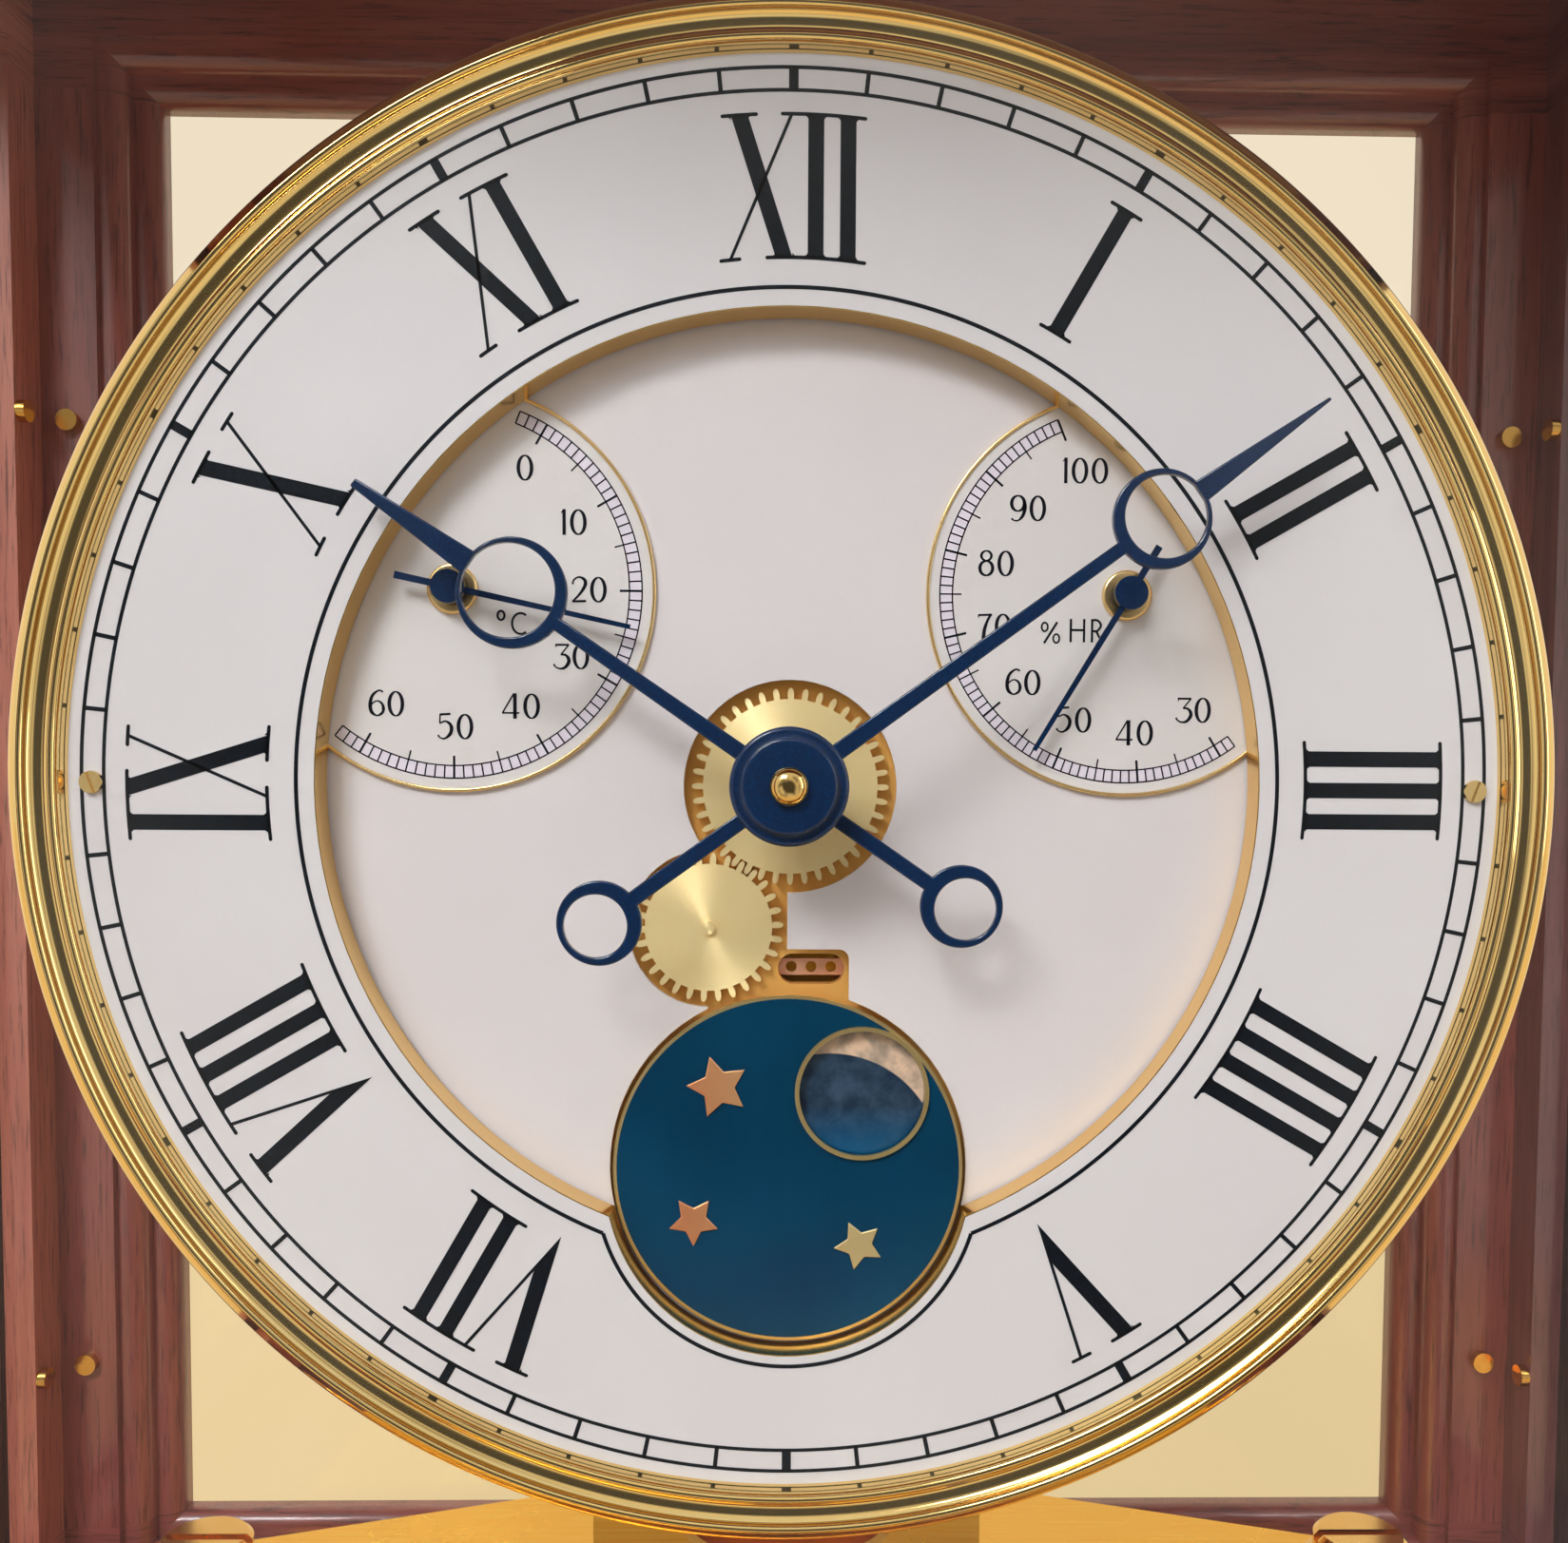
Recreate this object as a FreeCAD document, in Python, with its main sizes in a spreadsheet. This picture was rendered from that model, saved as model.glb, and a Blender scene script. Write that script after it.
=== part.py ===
import FreeCAD
import Part
import math
import os
import re

from FreeCAD import Placement, Rotation, Vector

# Moon phase desk clock in a glazed wooden case.
# The origin is the middle of the footprint on the table, +Z is up and the dial faces -Y.
# Depths on the dial side are counted backwards from the front of the chapter ring.

SIZES = [
    # Case
    ("case_width", 242.0),
    ("base_height", 30.0),
    ("base_overhang", 8.0),
    ("base_foot_land", 13.0),
    ("base_ovolo", 4.0),
    ("base_fillet", 1.5),
    ("base_cove", 4.5),
    ("top_height", 13.0),
    ("top_overhang", 6.0),
    ("top_cove", 4.0),
    ("top_bead", 2.0),
    ("foot_height", 6.0),
    ("foot_radius", 9.0),
    ("foot_taper", 1.5),
    ("foot_inset", 16.0),
    ("frame_height", 241.0),
    ("frame_thickness", 14.0),
    ("side_stile_width", 11.0),
    ("door_stile_width", 16.0),
    ("rear_stile_width", 29.4),
    ("rail_width", 17.0),
    ("door_gap", 0.4),
    ("moulding_width", 7.4),
    ("moulding_drop", 1.0),
    ("moulding_inner_width", 3.6),
    ("moulding_inner_drop", 4.0),
    ("moulding_round", 2.4),
    ("rebate_width", 4.0),
    ("rebate_depth", 6.0),
    ("glass_thickness", 2.0),
    ("glass_gap", 0.2),
    ("frame_pin_radius", 1.5),
    ("frame_pin_length", 1.2),
    ("frame_pin_inset", 4.0),
    ("frame_pin_low", 42.0),
    ("frame_pin_high", 178.0),
    # Door hardware
    ("hinge_axis_out", 2.6),
    ("hinge_radius", 2.0),
    ("hinge_height", 30.0),
    ("hinge_lift_height", 34.0),
    ("hinge_leaf_thickness", 1.2),
    ("hinge_leaf_width", 14.0),
    ("hinge_leaf_reach", 28.0),
    ("hinge_gap", 0.3),
    ("knob_radius", 4.6),
    ("knob_neck_radius", 2.4),
    ("knob_length", 7.0),
    # Platform and floor
    ("floor_plate_side_margin", 23.0),
    ("floor_plate_end_margin", 3.0),
    ("floor_plate_thickness", 3.0),
    ("floor_plate_corner", 10.0),
    ("pillar_height", 39.0),
    ("pillar_radius", 4.0),
    ("pillar_collar_radius", 6.6),
    ("pillar_collar_height", 2.4),
    ("pillar_flare", 3.0),
    ("pillar_spread", 58.8),
    ("front_pillar_depth", 19.2),
    ("rear_pillar_depth", 75.0),
    ("platform_thickness", 5.0),
    ("platform_end_radius", 6.6),
    ("platform_arm_radius", 9.0),
    ("platform_front_depth", 8.6),
    ("platform_shoulder_depth", 42.0),
    ("platform_chamfer", 0.8),
    ("screw_head_radius", 4.65),
    ("screw_head_height", 2.8),
    ("screw_flange_radius", 5.6),
    ("screw_flange_height", 1.2),
    ("screw_slot_width", 1.1),
    ("screw_slot_depth", 1.0),
    ("level_radius", 8.0),
    ("level_height", 6.0),
    ("level_wall", 1.4),
    ("level_front", 18.0),
    ("lever_pivot_x", 26.0),
    ("lever_pivot_front", 22.0),
    ("lever_pivot_radius", 3.6),
    ("lever_width", 4.0),
    ("lever_thickness", 1.6),
    ("lever_front_arm", 15.0),
    ("lever_rear_arm", 22.0),
    ("lever_knob_radius", 2.6),
    ("lever_knob_height", 7.0),
    # Balance
    ("balance_depth", 30.0),
    ("balance_radius", 37.0),
    ("balance_rim_width", 6.0),
    ("balance_rim_height", 9.0),
    ("balance_drop", 17.5),
    ("balance_spoke_width", 4.0),
    ("balance_spoke_height", 2.5),
    ("balance_hub_radius", 5.0),
    ("balance_hub_height", 24.0),
    ("balance_hub_top", 4.0),
    ("balance_weight_radius", 3.2),
    ("balance_weight_rise", 2.5),
    ("wire_radius", 0.3),
    ("tube_radius", 2.2),
    ("tube_bore", 1.1),
    ("tube_foot_radius", 5.0),
    ("tube_foot_height", 2.0),
    ("tube_cap_radius", 4.0),
    ("tube_cap_height", 6.0),
    ("bracket_width", 12.0),
    ("bracket_height", 7.0),
    ("bracket_reach", 10.0),
    # Movement
    ("dial_setback", 47.0),
    ("dial_axis_height", 127.0),
    ("plate_thickness", 2.0),
    ("plate_half_width", 36.0),
    ("plate_top", 38.0),
    ("plate_corner", 9.0),
    ("plate_foot_half_width", 18.5),
    ("plate_foot_height", 16.0),
    ("plate_shoulder_height", 14.0),
    ("plate_window_width", 21.0),
    ("plate_window_height", 26.0),
    ("plate_window_sill", 6.0),
    ("plate_window_corner", 5.0),
    ("plate_spacing", 9.5),
    ("movement_pillar_radius", 2.5),
    ("movement_pillar_inset", 5.5),
    ("dial_pillar_radius", 2.2),
    ("dial_pillar_x", 31.0),
    ("dial_pillar_up", 30.0),
    ("dial_pillar_down", 42.0),
    ("bellows_radius", 33.0),
    ("bellows_length", 26.0),
    ("bellows_drop", 12.0),
    ("bellows_edge", 4.0),
    ("bellows_hub_radius", 12.0),
    ("bellows_hub_length", 3.0),
    ("bellows_cover_radius", 35.0),
    ("bellows_cover_thickness", 2.0),
    ("bellows_post_radius", 2.2),
    ("bellows_post_x", 28.0),
    ("bellows_post_rise", 15.0),
    ("bellows_gap", 11.5),
    ("bellows_rear_gap", 18.0),
    ("barrel_radius", 13.6),
    ("barrel_length", 4.0),
    ("barrel_wheel_thickness", 1.2),
    ("barrel_arbor_radius", 1.6),
    ("barrel_module", 0.45),
    ("barrel_front", 1.0),
    ("train_module", 0.3),
    ("centre_wheel_rise", 1.5),
    ("escape_radius", 6.5),
    ("escape_tooth", 2.0),
    ("escape_thickness", 0.6),
    ("escape_rise", 3.6),
    ("pallet_distance", 8.8),
    ("pallet_reach", 5.2),
    ("pallet_width", 1.3),
    ("pallet_thickness", 0.8),
    ("pallet_tail", 9.0),
    ("pallet_gap", 0.35),
    ("wheel_thickness", 0.8),
    ("pinion_length", 1.0),
    ("pivot_radius", 0.6),
    ("pivot_gap", 0.05),
    ("wheel_gap", 0.4),
    ("motion_module", 0.3),
    ("cannon_module", 0.375),
    # Dial stack
    ("chapter_radius", 62.3),
    ("chapter_opening", 40.5),
    ("chapter_thickness", 1.0),
    ("rim_wall", 0.9),
    ("rim_depth", 2.1),
    ("dial_drop", 3.6),
    ("main_plate_radius", 53.0),
    ("main_plate_thickness", 0.6),
    ("centre_recess_radius", 9.4),
    ("idler_recess_radius", 7.0),
    ("tab_left", 0.2),
    ("tab_right", 5.3),
    ("tab_top", 14.4),
    ("tab_corner", 0.9),
    ("show_gap", 0.3),
    ("train_plate_gap", 0.5),
    ("train_plate_radius", 62.2),
    ("train_plate_thickness", 1.5),
    ("motion_gap", 0.5),
    ("motion_space", 1.2),
    ("slot_x", 1.95),
    ("slot_down", 16.4),
    ("slot_length", 6.0),
    ("slot_width", 2.75),
    ("strip_length", 8.4),
    ("strip_width", 1.5),
    ("strip_thickness", 0.4),
    ("strip_hole_radius", 0.5),
    ("strip_hole_pitch", 1.8),
    ("spacer_radius", 1.6),
    ("spacer_circle_radius", 48.0),
    ("seat_ring_inner", 57.5),
    ("dial_screw_radius", 0.95),
    ("dial_screw_height", 0.5),
    ("dial_screw_shank", 0.5),
    ("dial_screw_slot", 0.25),
    ("dial_screw_circle_radius", 59.07),
    # Bezel section, as radii and heights in front of the chapter ring
    ("bezel_outer", 66.3),
    ("bezel_inner", 61.1),
    ("bezel_lip", 0.85),
    ("bezel_lip_rise", 0.8),
    ("bezel_step", 0.2),
    ("bezel_bead", 1.9),
    ("bezel_bead_rise", 1.0),
    ("bezel_groove", 0.15),
    ("bezel_crown_rise", 1.7),
    ("bezel_shoulder", 0.5),
    ("bezel_fit", 0.1),
    # Sub-dials
    ("subdial_x", 29.4),
    ("subdial_up", 16.95),
    ("subdial_radius", 17.3),
    ("subdial_thickness", 0.3),
    ("subdial_rim_width", 0.35),
    ("subdial_rim_height", 0.45),
    ("bush_radius", 2.2),
    ("bush_height", 0.9),
    ("pointer_hub_radius", 1.45),
    ("pointer_thickness", 0.3),
    ("pointer_depth", 1.5),
    ("pointer_length", 15.9),
    ("pointer_tail", 4.7),
    ("pointer_width", 0.62),
    ("pointer_tip_width", 0.4),
    ("pointer_arbor_radius", 0.45),
    ("sensor_radius", 9.0),
    ("sensor_depth", 3.2),
    ("sensor_wall", 0.6),
    # Hands
    ("hand_thickness", 0.8),
    ("hand_arm_width", 1.45),
    ("hour_hand_depth", 3.2),
    ("hour_hub_radius", 4.7),
    ("hour_ring_centre", 28.0),
    ("hour_ring_radius", 4.6),
    ("hour_hole_radius", 3.9),
    ("hour_hole_shift", 0.39),
    ("hour_tip", 43.7),
    ("hour_tail_centre", 17.6),
    ("minute_hand_depth", 5.0),
    ("minute_hub_radius", 4.9),
    ("minute_cap_radius", 3.95),
    ("minute_cap_rise", 0.8),
    ("minute_collar_rise", 0.8),
    ("minute_ring_centre", 37.4),
    ("minute_ring_radius", 4.07),
    ("minute_hole_radius", 3.39),
    ("minute_hole_shift", 0.39),
    ("minute_tip", 54.1),
    ("minute_tail_centre", 19.2),
    ("tail_ring_radius", 3.4),
    ("tail_hole_radius", 2.55),
    ("tip_root_width", 2.1),
    ("tip_width", 0.3),
    ("nut_radius", 1.6),
    ("nut_height", 1.3),
    ("nut_slot", 0.4),
    ("hour_pipe_radius", 2.1),
    ("hour_pipe_bore", 1.4),
    ("cannon_radius", 1.3),
    ("cannon_bore", 0.85),
    ("centre_arbor_radius", 0.8),
    # Moon display
    ("show_module", 0.415),
    ("moon_module", 0.3),
    ("moon_down", 33.9),
    ("moon_opening", 15.9),
    ("moon_disc_radius", 15.2),
    ("moon_edge_width", 0.3),
    ("moon_disc_depth", 2.7),
    ("moon_disc_thickness", 0.6),
    ("moon_window_radius", 5.55),
    ("moon_window_shift", 9.43),
    ("moon_window_ring", 0.4),
    ("moon_ring_height", 0.35),
    ("star_height", 0.3),
    ("star_circle_radius", 9.25),
    ("large_star_radius", 2.7),
    ("small_star_radius", 2.2),
    ("phase_plate_radius", 15.0),
    ("phase_plate_thickness", 0.4),
    ("phase_plate_bore", 1.2),
    ("phase_leg_radius", 0.8),
    ("phase_leg_circle_radius", 12.0),
    ("moon_arbor_radius", 0.8),
    # Cutting tools run past the faces they cut by this much
    ("overrun", 1.0),
    # Edges are told apart by this much
    ("fine_gap", 0.01),
]

# Tooth numbers of the trains
CANNON_LEAVES = 12
MINUTE_TEETH = 36
MINUTE_LEAVES = 12
HOUR_TEETH = 48
SHOW_TEETH = 40
IDLER_TEETH = 30
IDLER_LEAVES = 8
MONTH_TEETH = 56
MONTH_LEAVES = 8
MOON_TEETH = 90
BARREL_TEETH = 72
CENTRE_LEAVES = 9
CENTRE_TEETH = 60
ESCAPE_LEAVES = 15
ESCAPE_TEETH = 15

# Angles in degrees; those on the dial run clockwise from XII
MINUTE_ANGLE = 54.0
HOUR_ANGLE = 304.5
THERMOMETER_ANGLE = 102.0
HYGROMETER_ANGLE = 211.0
IDLER_ANGLE = 209.9
MINUTE_WHEEL_ANGLE = 60.0
BARREL_ANGLE = 225.0
WINDOW_ANGLE = 46.4
STAR_ANGLES = (131.5, 209.0, 314.0)
STAR_TURNS = (8.0, -14.0, 20.0)
LEVER_ANGLE = 17.0

# Shares of a tooth pitch and of a module that shape the teeth
TOOTH_WIDTH_SHARE = 0.42
SHOULDER_HEIGHT_SHARE = 0.62
SHOULDER_WIDTH_SHARE = 0.74
TIP_WIDTH_SHARE = 0.32
ADDENDUM_SHARE = 1.05
DEDENDUM_SHARE = 1.3
STAR_WAIST_SHARE = 0.4

# Points nearer than this are one point
TOUCHING = 1e-7

doc = FreeCAD.newDocument("MoonPhaseClock")
sheet = doc.addObject("Spreadsheet::Sheet", "Sizes")
cells = []


def add_cell(alias, value):
    cells.append(alias)
    row = len(cells)
    sheet.set("A%d" % row, alias.replace("_", " "))
    sheet.set("B%d" % row, str(value))
    sheet.setAlias("B%d" % row, alias)
    doc.recompute()


for size_name, size_value in SIZES:
    add_cell(size_name, size_value)


class Sizes:
    """The spreadsheet's cells as attributes."""

    def __getattr__(self, alias):
        return float(sheet.get(alias))


s = Sizes()
nodes = []


def bind(thing, prop, formula):
    """Ties a property to a formula whose words are cells of the sheet."""
    thing.setExpression(prop, re.sub(r"[a-z_]+", lambda word: "Sizes." + word.group(0), formula))


# Depths of the faces behind the front of the chapter ring, in cells of their own
add_cell("main_back", s.dial_drop + s.main_plate_thickness)
add_cell("show_front", s.main_back + s.show_gap)
add_cell("show_back", s.show_front + s.wheel_thickness)
add_cell("train_front", s.show_back + s.train_plate_gap)
add_cell("train_back", s.train_front + s.train_plate_thickness)
add_cell("hour_back", s.train_back + s.motion_gap + s.wheel_thickness)
add_cell("minute_back", s.hour_back + s.wheel_gap + s.wheel_thickness)
add_cell("front_plate", s.minute_back + s.motion_space)
add_cell("front_plate_back", s.front_plate + s.plate_thickness)
add_cell("back_plate", s.front_plate_back + s.plate_spacing)
add_cell("back_plate_back", s.back_plate + s.plate_thickness)
add_cell("bellows_front", s.back_plate_back + s.bellows_gap)
add_cell("disc_back", s.moon_disc_depth + s.moon_disc_thickness)
add_cell("barrel_wheel_back", s.front_plate_back + s.barrel_front + s.barrel_wheel_thickness)
add_cell("barrel_back", s.barrel_wheel_back + s.barrel_length)
add_cell("going_wheel_back", s.back_plate - s.centre_wheel_rise)
add_cell("escape_back", s.back_plate - s.escape_rise)
add_cell("hands_front", s.minute_hand_depth + s.hand_thickness + s.minute_collar_rise + s.minute_cap_rise)
add_cell("bellows_back", s.bellows_front + s.bellows_cover_thickness + s.bellows_length + s.bellows_hub_length)
add_cell("case_depth", s.dial_setback + s.bellows_back + s.bellows_rear_gap + 2 * s.frame_thickness)

# Places worked out from the sizes
floor_z = s.foot_height + s.base_height
floor_top = floor_z + s.floor_plate_thickness
platform_z = floor_top + s.pillar_height
platform_top = platform_z + s.platform_thickness
axis_z = floor_z + s.dial_axis_height
ceiling_z = floor_z + s.frame_height
dial_y = s.frame_thickness + s.dial_setback - s.case_depth / 2
door_face = -s.case_depth / 2 - s.door_gap
balance_y = dial_y + s.balance_depth


def polar(angle, radius):
    """A point on the dial, its angle clockwise from XII."""
    turn = math.radians(angle)
    return (radius * math.sin(turn), radius * math.cos(turn))


def pair_distance(first, second, module):
    return (first + second) * module / 2


def third_corner(start, end, from_start, from_end):
    """The point at two given distances, to the right on the way from start to end seen from behind."""
    dx = end[0] - start[0]
    dy = end[1] - start[1]
    span = math.hypot(dx, dy)
    along = (from_start ** 2 - from_end ** 2 + span ** 2) / (2 * span)
    aside = math.sqrt(from_start ** 2 - along ** 2)
    return (start[0] + (along * dx + aside * dy) / span, start[1] + (along * dy - aside * dx) / span)


idler_at = polar(IDLER_ANGLE, pair_distance(SHOW_TEETH, IDLER_TEETH, s.show_module))
moon_at = (0.0, -s.moon_down)
month_at = third_corner(
    idler_at,
    moon_at,
    pair_distance(IDLER_LEAVES, MONTH_TEETH, s.moon_module),
    pair_distance(MONTH_LEAVES, MOON_TEETH, s.moon_module),
)
minute_wheel_at = polar(MINUTE_WHEEL_ANGLE, pair_distance(CANNON_LEAVES, MINUTE_TEETH, s.cannon_module))
barrel_at = polar(BARREL_ANGLE, pair_distance(BARREL_TEETH, CENTRE_LEAVES, s.barrel_module))
escape_at = (0.0, pair_distance(CENTRE_TEETH, ESCAPE_LEAVES, s.train_module))
pallet_at = (0.0, escape_at[1] + s.pallet_distance)
thermometer_at = (-s.subdial_x, s.subdial_up)
hygrometer_at = (s.subdial_x, s.subdial_up)
pillar_places = [
    (-s.pillar_spread, dial_y + s.front_pillar_depth),
    (s.pillar_spread, dial_y + s.front_pillar_depth),
    (0.0, dial_y + s.rear_pillar_depth),
]


def facing(at=(0.0, 0.0), depth=0.0, turn=0.0):
    """A local frame on the dial side: x to the right, y up, z towards the viewer."""
    place = Vector(at[0], dial_y + depth, axis_z + at[1])
    return Placement(place, Rotation(Vector(1, 0, 0), 90) * Rotation(Vector(0, 0, 1), -turn))


def upright(x, y, z, turn=0.0):
    return Placement(Vector(x, y, z), Rotation(Vector(0, 0, 1), turn))


def add_body(label, placement, keep=True):
    body = doc.addObject("PartDesign::Body", label)
    body.Label = label
    body.Placement = placement
    if keep:
        nodes.append(body)
    return body


def add_sketch(body, name, edges, base=0.0, role="XY_Plane"):
    sketch = body.newObject("Sketcher::SketchObject", name)
    plane = next(item for item in body.Origin.OriginFeatures if item.Role == role)
    sketch.AttachmentSupport = [(plane, "")]
    sketch.MapMode = "FlatFace"
    sketch.AttachmentOffset = Placement(Vector(0, 0, base), Rotation())
    sketch.addGeometry(edges, False)
    return sketch


def add_circle(sketch, formula):
    """A circle about the sketch's origin whose radius follows the sheet."""
    import Sketcher

    index = sketch.addGeometry(Part.Circle(Vector(), Vector(0, 0, 1), 1.0), False)
    sketch.addConstraint(Sketcher.Constraint("Coincident", index, 3, -1, 1))
    constraint = sketch.addConstraint(Sketcher.Constraint("Radius", index, 1.0))
    bind(sketch, "Constraints[%d]" % constraint, formula)


def circle(x, y, radius):
    return Part.Circle(Vector(x, y, 0), Vector(0, 0, 1), radius)


def closed(path):
    """Edges of a closed outline; a point with four numbers is the end and middle of an arc."""
    edges = []
    start = Vector(path[0][0], path[0][1], 0)
    first = start
    for point in path[1:]:
        end = Vector(point[0], point[1], 0)
        if len(point) == 4:
            edges.append(Part.Arc(start, Vector(point[2], point[3], 0), end))
        elif start.distanceToPoint(end) > TOUCHING:
            edges.append(Part.LineSegment(start, end))
        start = end
    if start.distanceToPoint(first) > TOUCHING:
        edges.append(Part.LineSegment(start, first))
    return edges


def rectangle(x0, y0, x1, y1):
    return closed([(x0, y0), (x1, y0), (x1, y1), (x0, y1)])


def rounded_rectangle(x0, y0, x1, y1, corner):
    bulge = corner * (1 - math.sqrt(0.5))
    return closed([
        (x0 + corner, y0),
        (x1 - corner, y0),
        (x1, y0 + corner, x1 - bulge, y0 + bulge),
        (x1, y1 - corner),
        (x1 - corner, y1, x1 - bulge, y1 - bulge),
        (x0 + corner, y1),
        (x0, y1 - corner, x0 + bulge, y1 - bulge),
        (x0, y0 + corner),
        (x0 + corner, y0, x0 + bulge, y0 + bulge),
    ])


def slot_outline(x, y, length, width):
    half = (length - width) / 2
    radius = width / 2
    return closed([
        (x - half, y - radius),
        (x + half, y - radius),
        (x + half, y + radius, x + half + radius, y),
        (x - half, y + radius),
        (x - half, y - radius, x - half - radius, y),
    ])


def extrude(body, kind, sketch, formula, reverse=False):
    feature = body.newObject("PartDesign::" + kind, kind + sketch.Name)
    feature.Profile = sketch
    bind(feature, "Length", formula)
    feature.Reversed = reverse
    return feature


def pad(body, name, edges, base, formula):
    return extrude(body, "Pad", add_sketch(body, name, edges, base), formula)


def pad_disc(body, name, radius, base, formula):
    sketch = add_sketch(body, name, [], base)
    add_circle(sketch, radius)
    return extrude(body, "Pad", sketch, formula)


def cut(body, name, edges, base, formula):
    """A pocket from the base height upwards; it has to take something away."""
    doc.recompute()
    before = body.Shape.Volume
    feature = extrude(body, "Pocket", add_sketch(body, name, edges, base), formula, reverse=True)
    doc.recompute()
    if body.Shape.Volume >= before:
        raise ValueError("%s cuts nothing from %s" % (name, body.Label))
    return feature


def cut_disc(body, name, radius, base, formula):
    doc.recompute()
    before = body.Shape.Volume
    sketch = add_sketch(body, name, [], base)
    add_circle(sketch, radius)
    feature = extrude(body, "Pocket", sketch, formula, reverse=True)
    doc.recompute()
    if body.Shape.Volume >= before:
        raise ValueError("%s cuts nothing from %s" % (name, body.Label))
    return feature


def around(body, feature, count):
    """Repeats a feature evenly about the body's own z axis."""
    doc.recompute()
    pattern = body.newObject("PartDesign::PolarPattern", "Around" + feature.Name)
    pattern.Originals = [feature]
    axis = next(item for item in body.Origin.OriginFeatures if item.Role == "Z_Axis")
    pattern.Axis = (axis, [""])
    pattern.Angle = 360
    pattern.Occurrences = count
    body.Tip = pattern
    return pattern


def edges_where(feature, test):
    """Names of the feature's edges whose middle passes the test."""
    names = []
    for number, edge in enumerate(feature.Shape.Edges, start=1):
        middle = edge.valueAt((edge.FirstParameter + edge.LastParameter) / 2)
        if test(middle):
            names.append("Edge%d" % number)
    return names


def break_edges(body, test, formula):
    """Chamfers the edges of the body whose middle passes the test."""
    doc.recompute()
    base = body.Tip
    chamfer = body.newObject("PartDesign::Chamfer", "Chamfer")
    chamfer.Base = (base, edges_where(base, test))
    bind(chamfer, "Size", formula)
    return chamfer


def round_edges(body, test, formula):
    """Rounds the edges of the body whose middle passes the test."""
    doc.recompute()
    base = body.Tip
    fillet = body.newObject("PartDesign::Fillet", "Fillet")
    fillet.Base = (base, edges_where(base, test))
    bind(fillet, "Radius", formula)
    return fillet


def turned(label, placement, path, keep=True):
    """A turned piece, from the outline of its half section as radius and height."""
    body = add_body(label, placement, keep)
    sketch = add_sketch(body, "Section", closed(path), role="XZ_Plane")
    feature = body.newObject("PartDesign::Revolution", "Turned")
    feature.Profile = sketch
    feature.ReferenceAxis = (sketch, ["V_Axis"])
    feature.Angle = 360
    return body


def cylinder(label, radius, height, placement):
    solid = doc.addObject("Part::Cylinder", label)
    bind(solid, "Radius", radius)
    bind(solid, "Height", height)
    solid.Placement = placement
    return solid


def box(label, length, width, height, placement):
    solid = doc.addObject("Part::Box", label)
    bind(solid, "Length", length)
    bind(solid, "Width", width)
    bind(solid, "Height", height)
    solid.Placement = placement
    return solid


def subtract(label, base, tool):
    result = doc.addObject("Part::Cut", label)
    result.Base = base
    result.Tool = tool
    return result


def unite(label, pieces):
    result = doc.addObject("Part::MultiFuse", label)
    result.Shapes = pieces
    return result


def group(label, pieces):
    """Like pieces that share one node, each still its own solid."""
    result = doc.addObject("Part::Compound", label)
    result.Label = label
    result.Links = pieces
    nodes.append(result)
    return result


# Teeth


def tooth_ring(teeth, module, turn=0.0, detailed=False):
    """Outline of a wheel or pinion: radial flanks up to the pitch circle, then a narrowing tip."""
    pitch_radius = teeth * module / 2
    root = pitch_radius - DEDENDUM_SHARE * module
    tip = pitch_radius + ADDENDUM_SHARE * module
    half = TOOTH_WIDTH_SHARE * math.pi / teeth
    corners = [(root, -half), (pitch_radius, -half)]
    if detailed:
        shoulder = pitch_radius + SHOULDER_HEIGHT_SHARE * (tip - pitch_radius)
        corners.append((shoulder, -SHOULDER_WIDTH_SHARE * half))
    corners.append((tip, -TIP_WIDTH_SHARE * half))
    if not detailed:
        corners.pop(1)
    corners += [(radius, -angle) for radius, angle in reversed(corners)]
    path = []
    for tooth in range(teeth):
        middle = math.radians(turn) + 2 * math.pi * tooth / teeth
        for radius, angle in corners:
            path.append((radius * math.cos(middle + angle), radius * math.sin(middle + angle)))
    return closed(path)


def meshing_turn(teeth, other_teeth, towards, other_turn):
    """Turn of a wheel so that a gap meets the other wheel's tooth on the line of centres."""
    phase = (towards + 180 - other_turn) * other_teeth / 360
    return towards - (0.5 - phase) * 360 / teeth


def direction(start, end):
    return math.degrees(math.atan2(end[1] - start[1], end[0] - start[0]))


def spoked(body, name, count, rim, hub, width, base, formula):
    """Crosses a wheel out, leaving straight spokes of the given width."""
    outer = math.asin(width / 2 / rim)
    inner = math.asin(width / 2 / hub)
    span = 2 * math.pi / count
    path = [
        (hub * math.cos(inner), hub * math.sin(inner)),
        (rim * math.cos(outer), rim * math.sin(outer)),
        (rim * math.cos(span - outer), rim * math.sin(span - outer),
         rim * math.cos(span / 2), rim * math.sin(span / 2)),
        (hub * math.cos(span - inner), hub * math.sin(span - inner)),
        (hub * math.cos(inner), hub * math.sin(inner),
         hub * math.cos(span / 2), hub * math.sin(span / 2)),
    ]
    around(body, cut(body, name, closed(path), base, formula), count)


# Case


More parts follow.
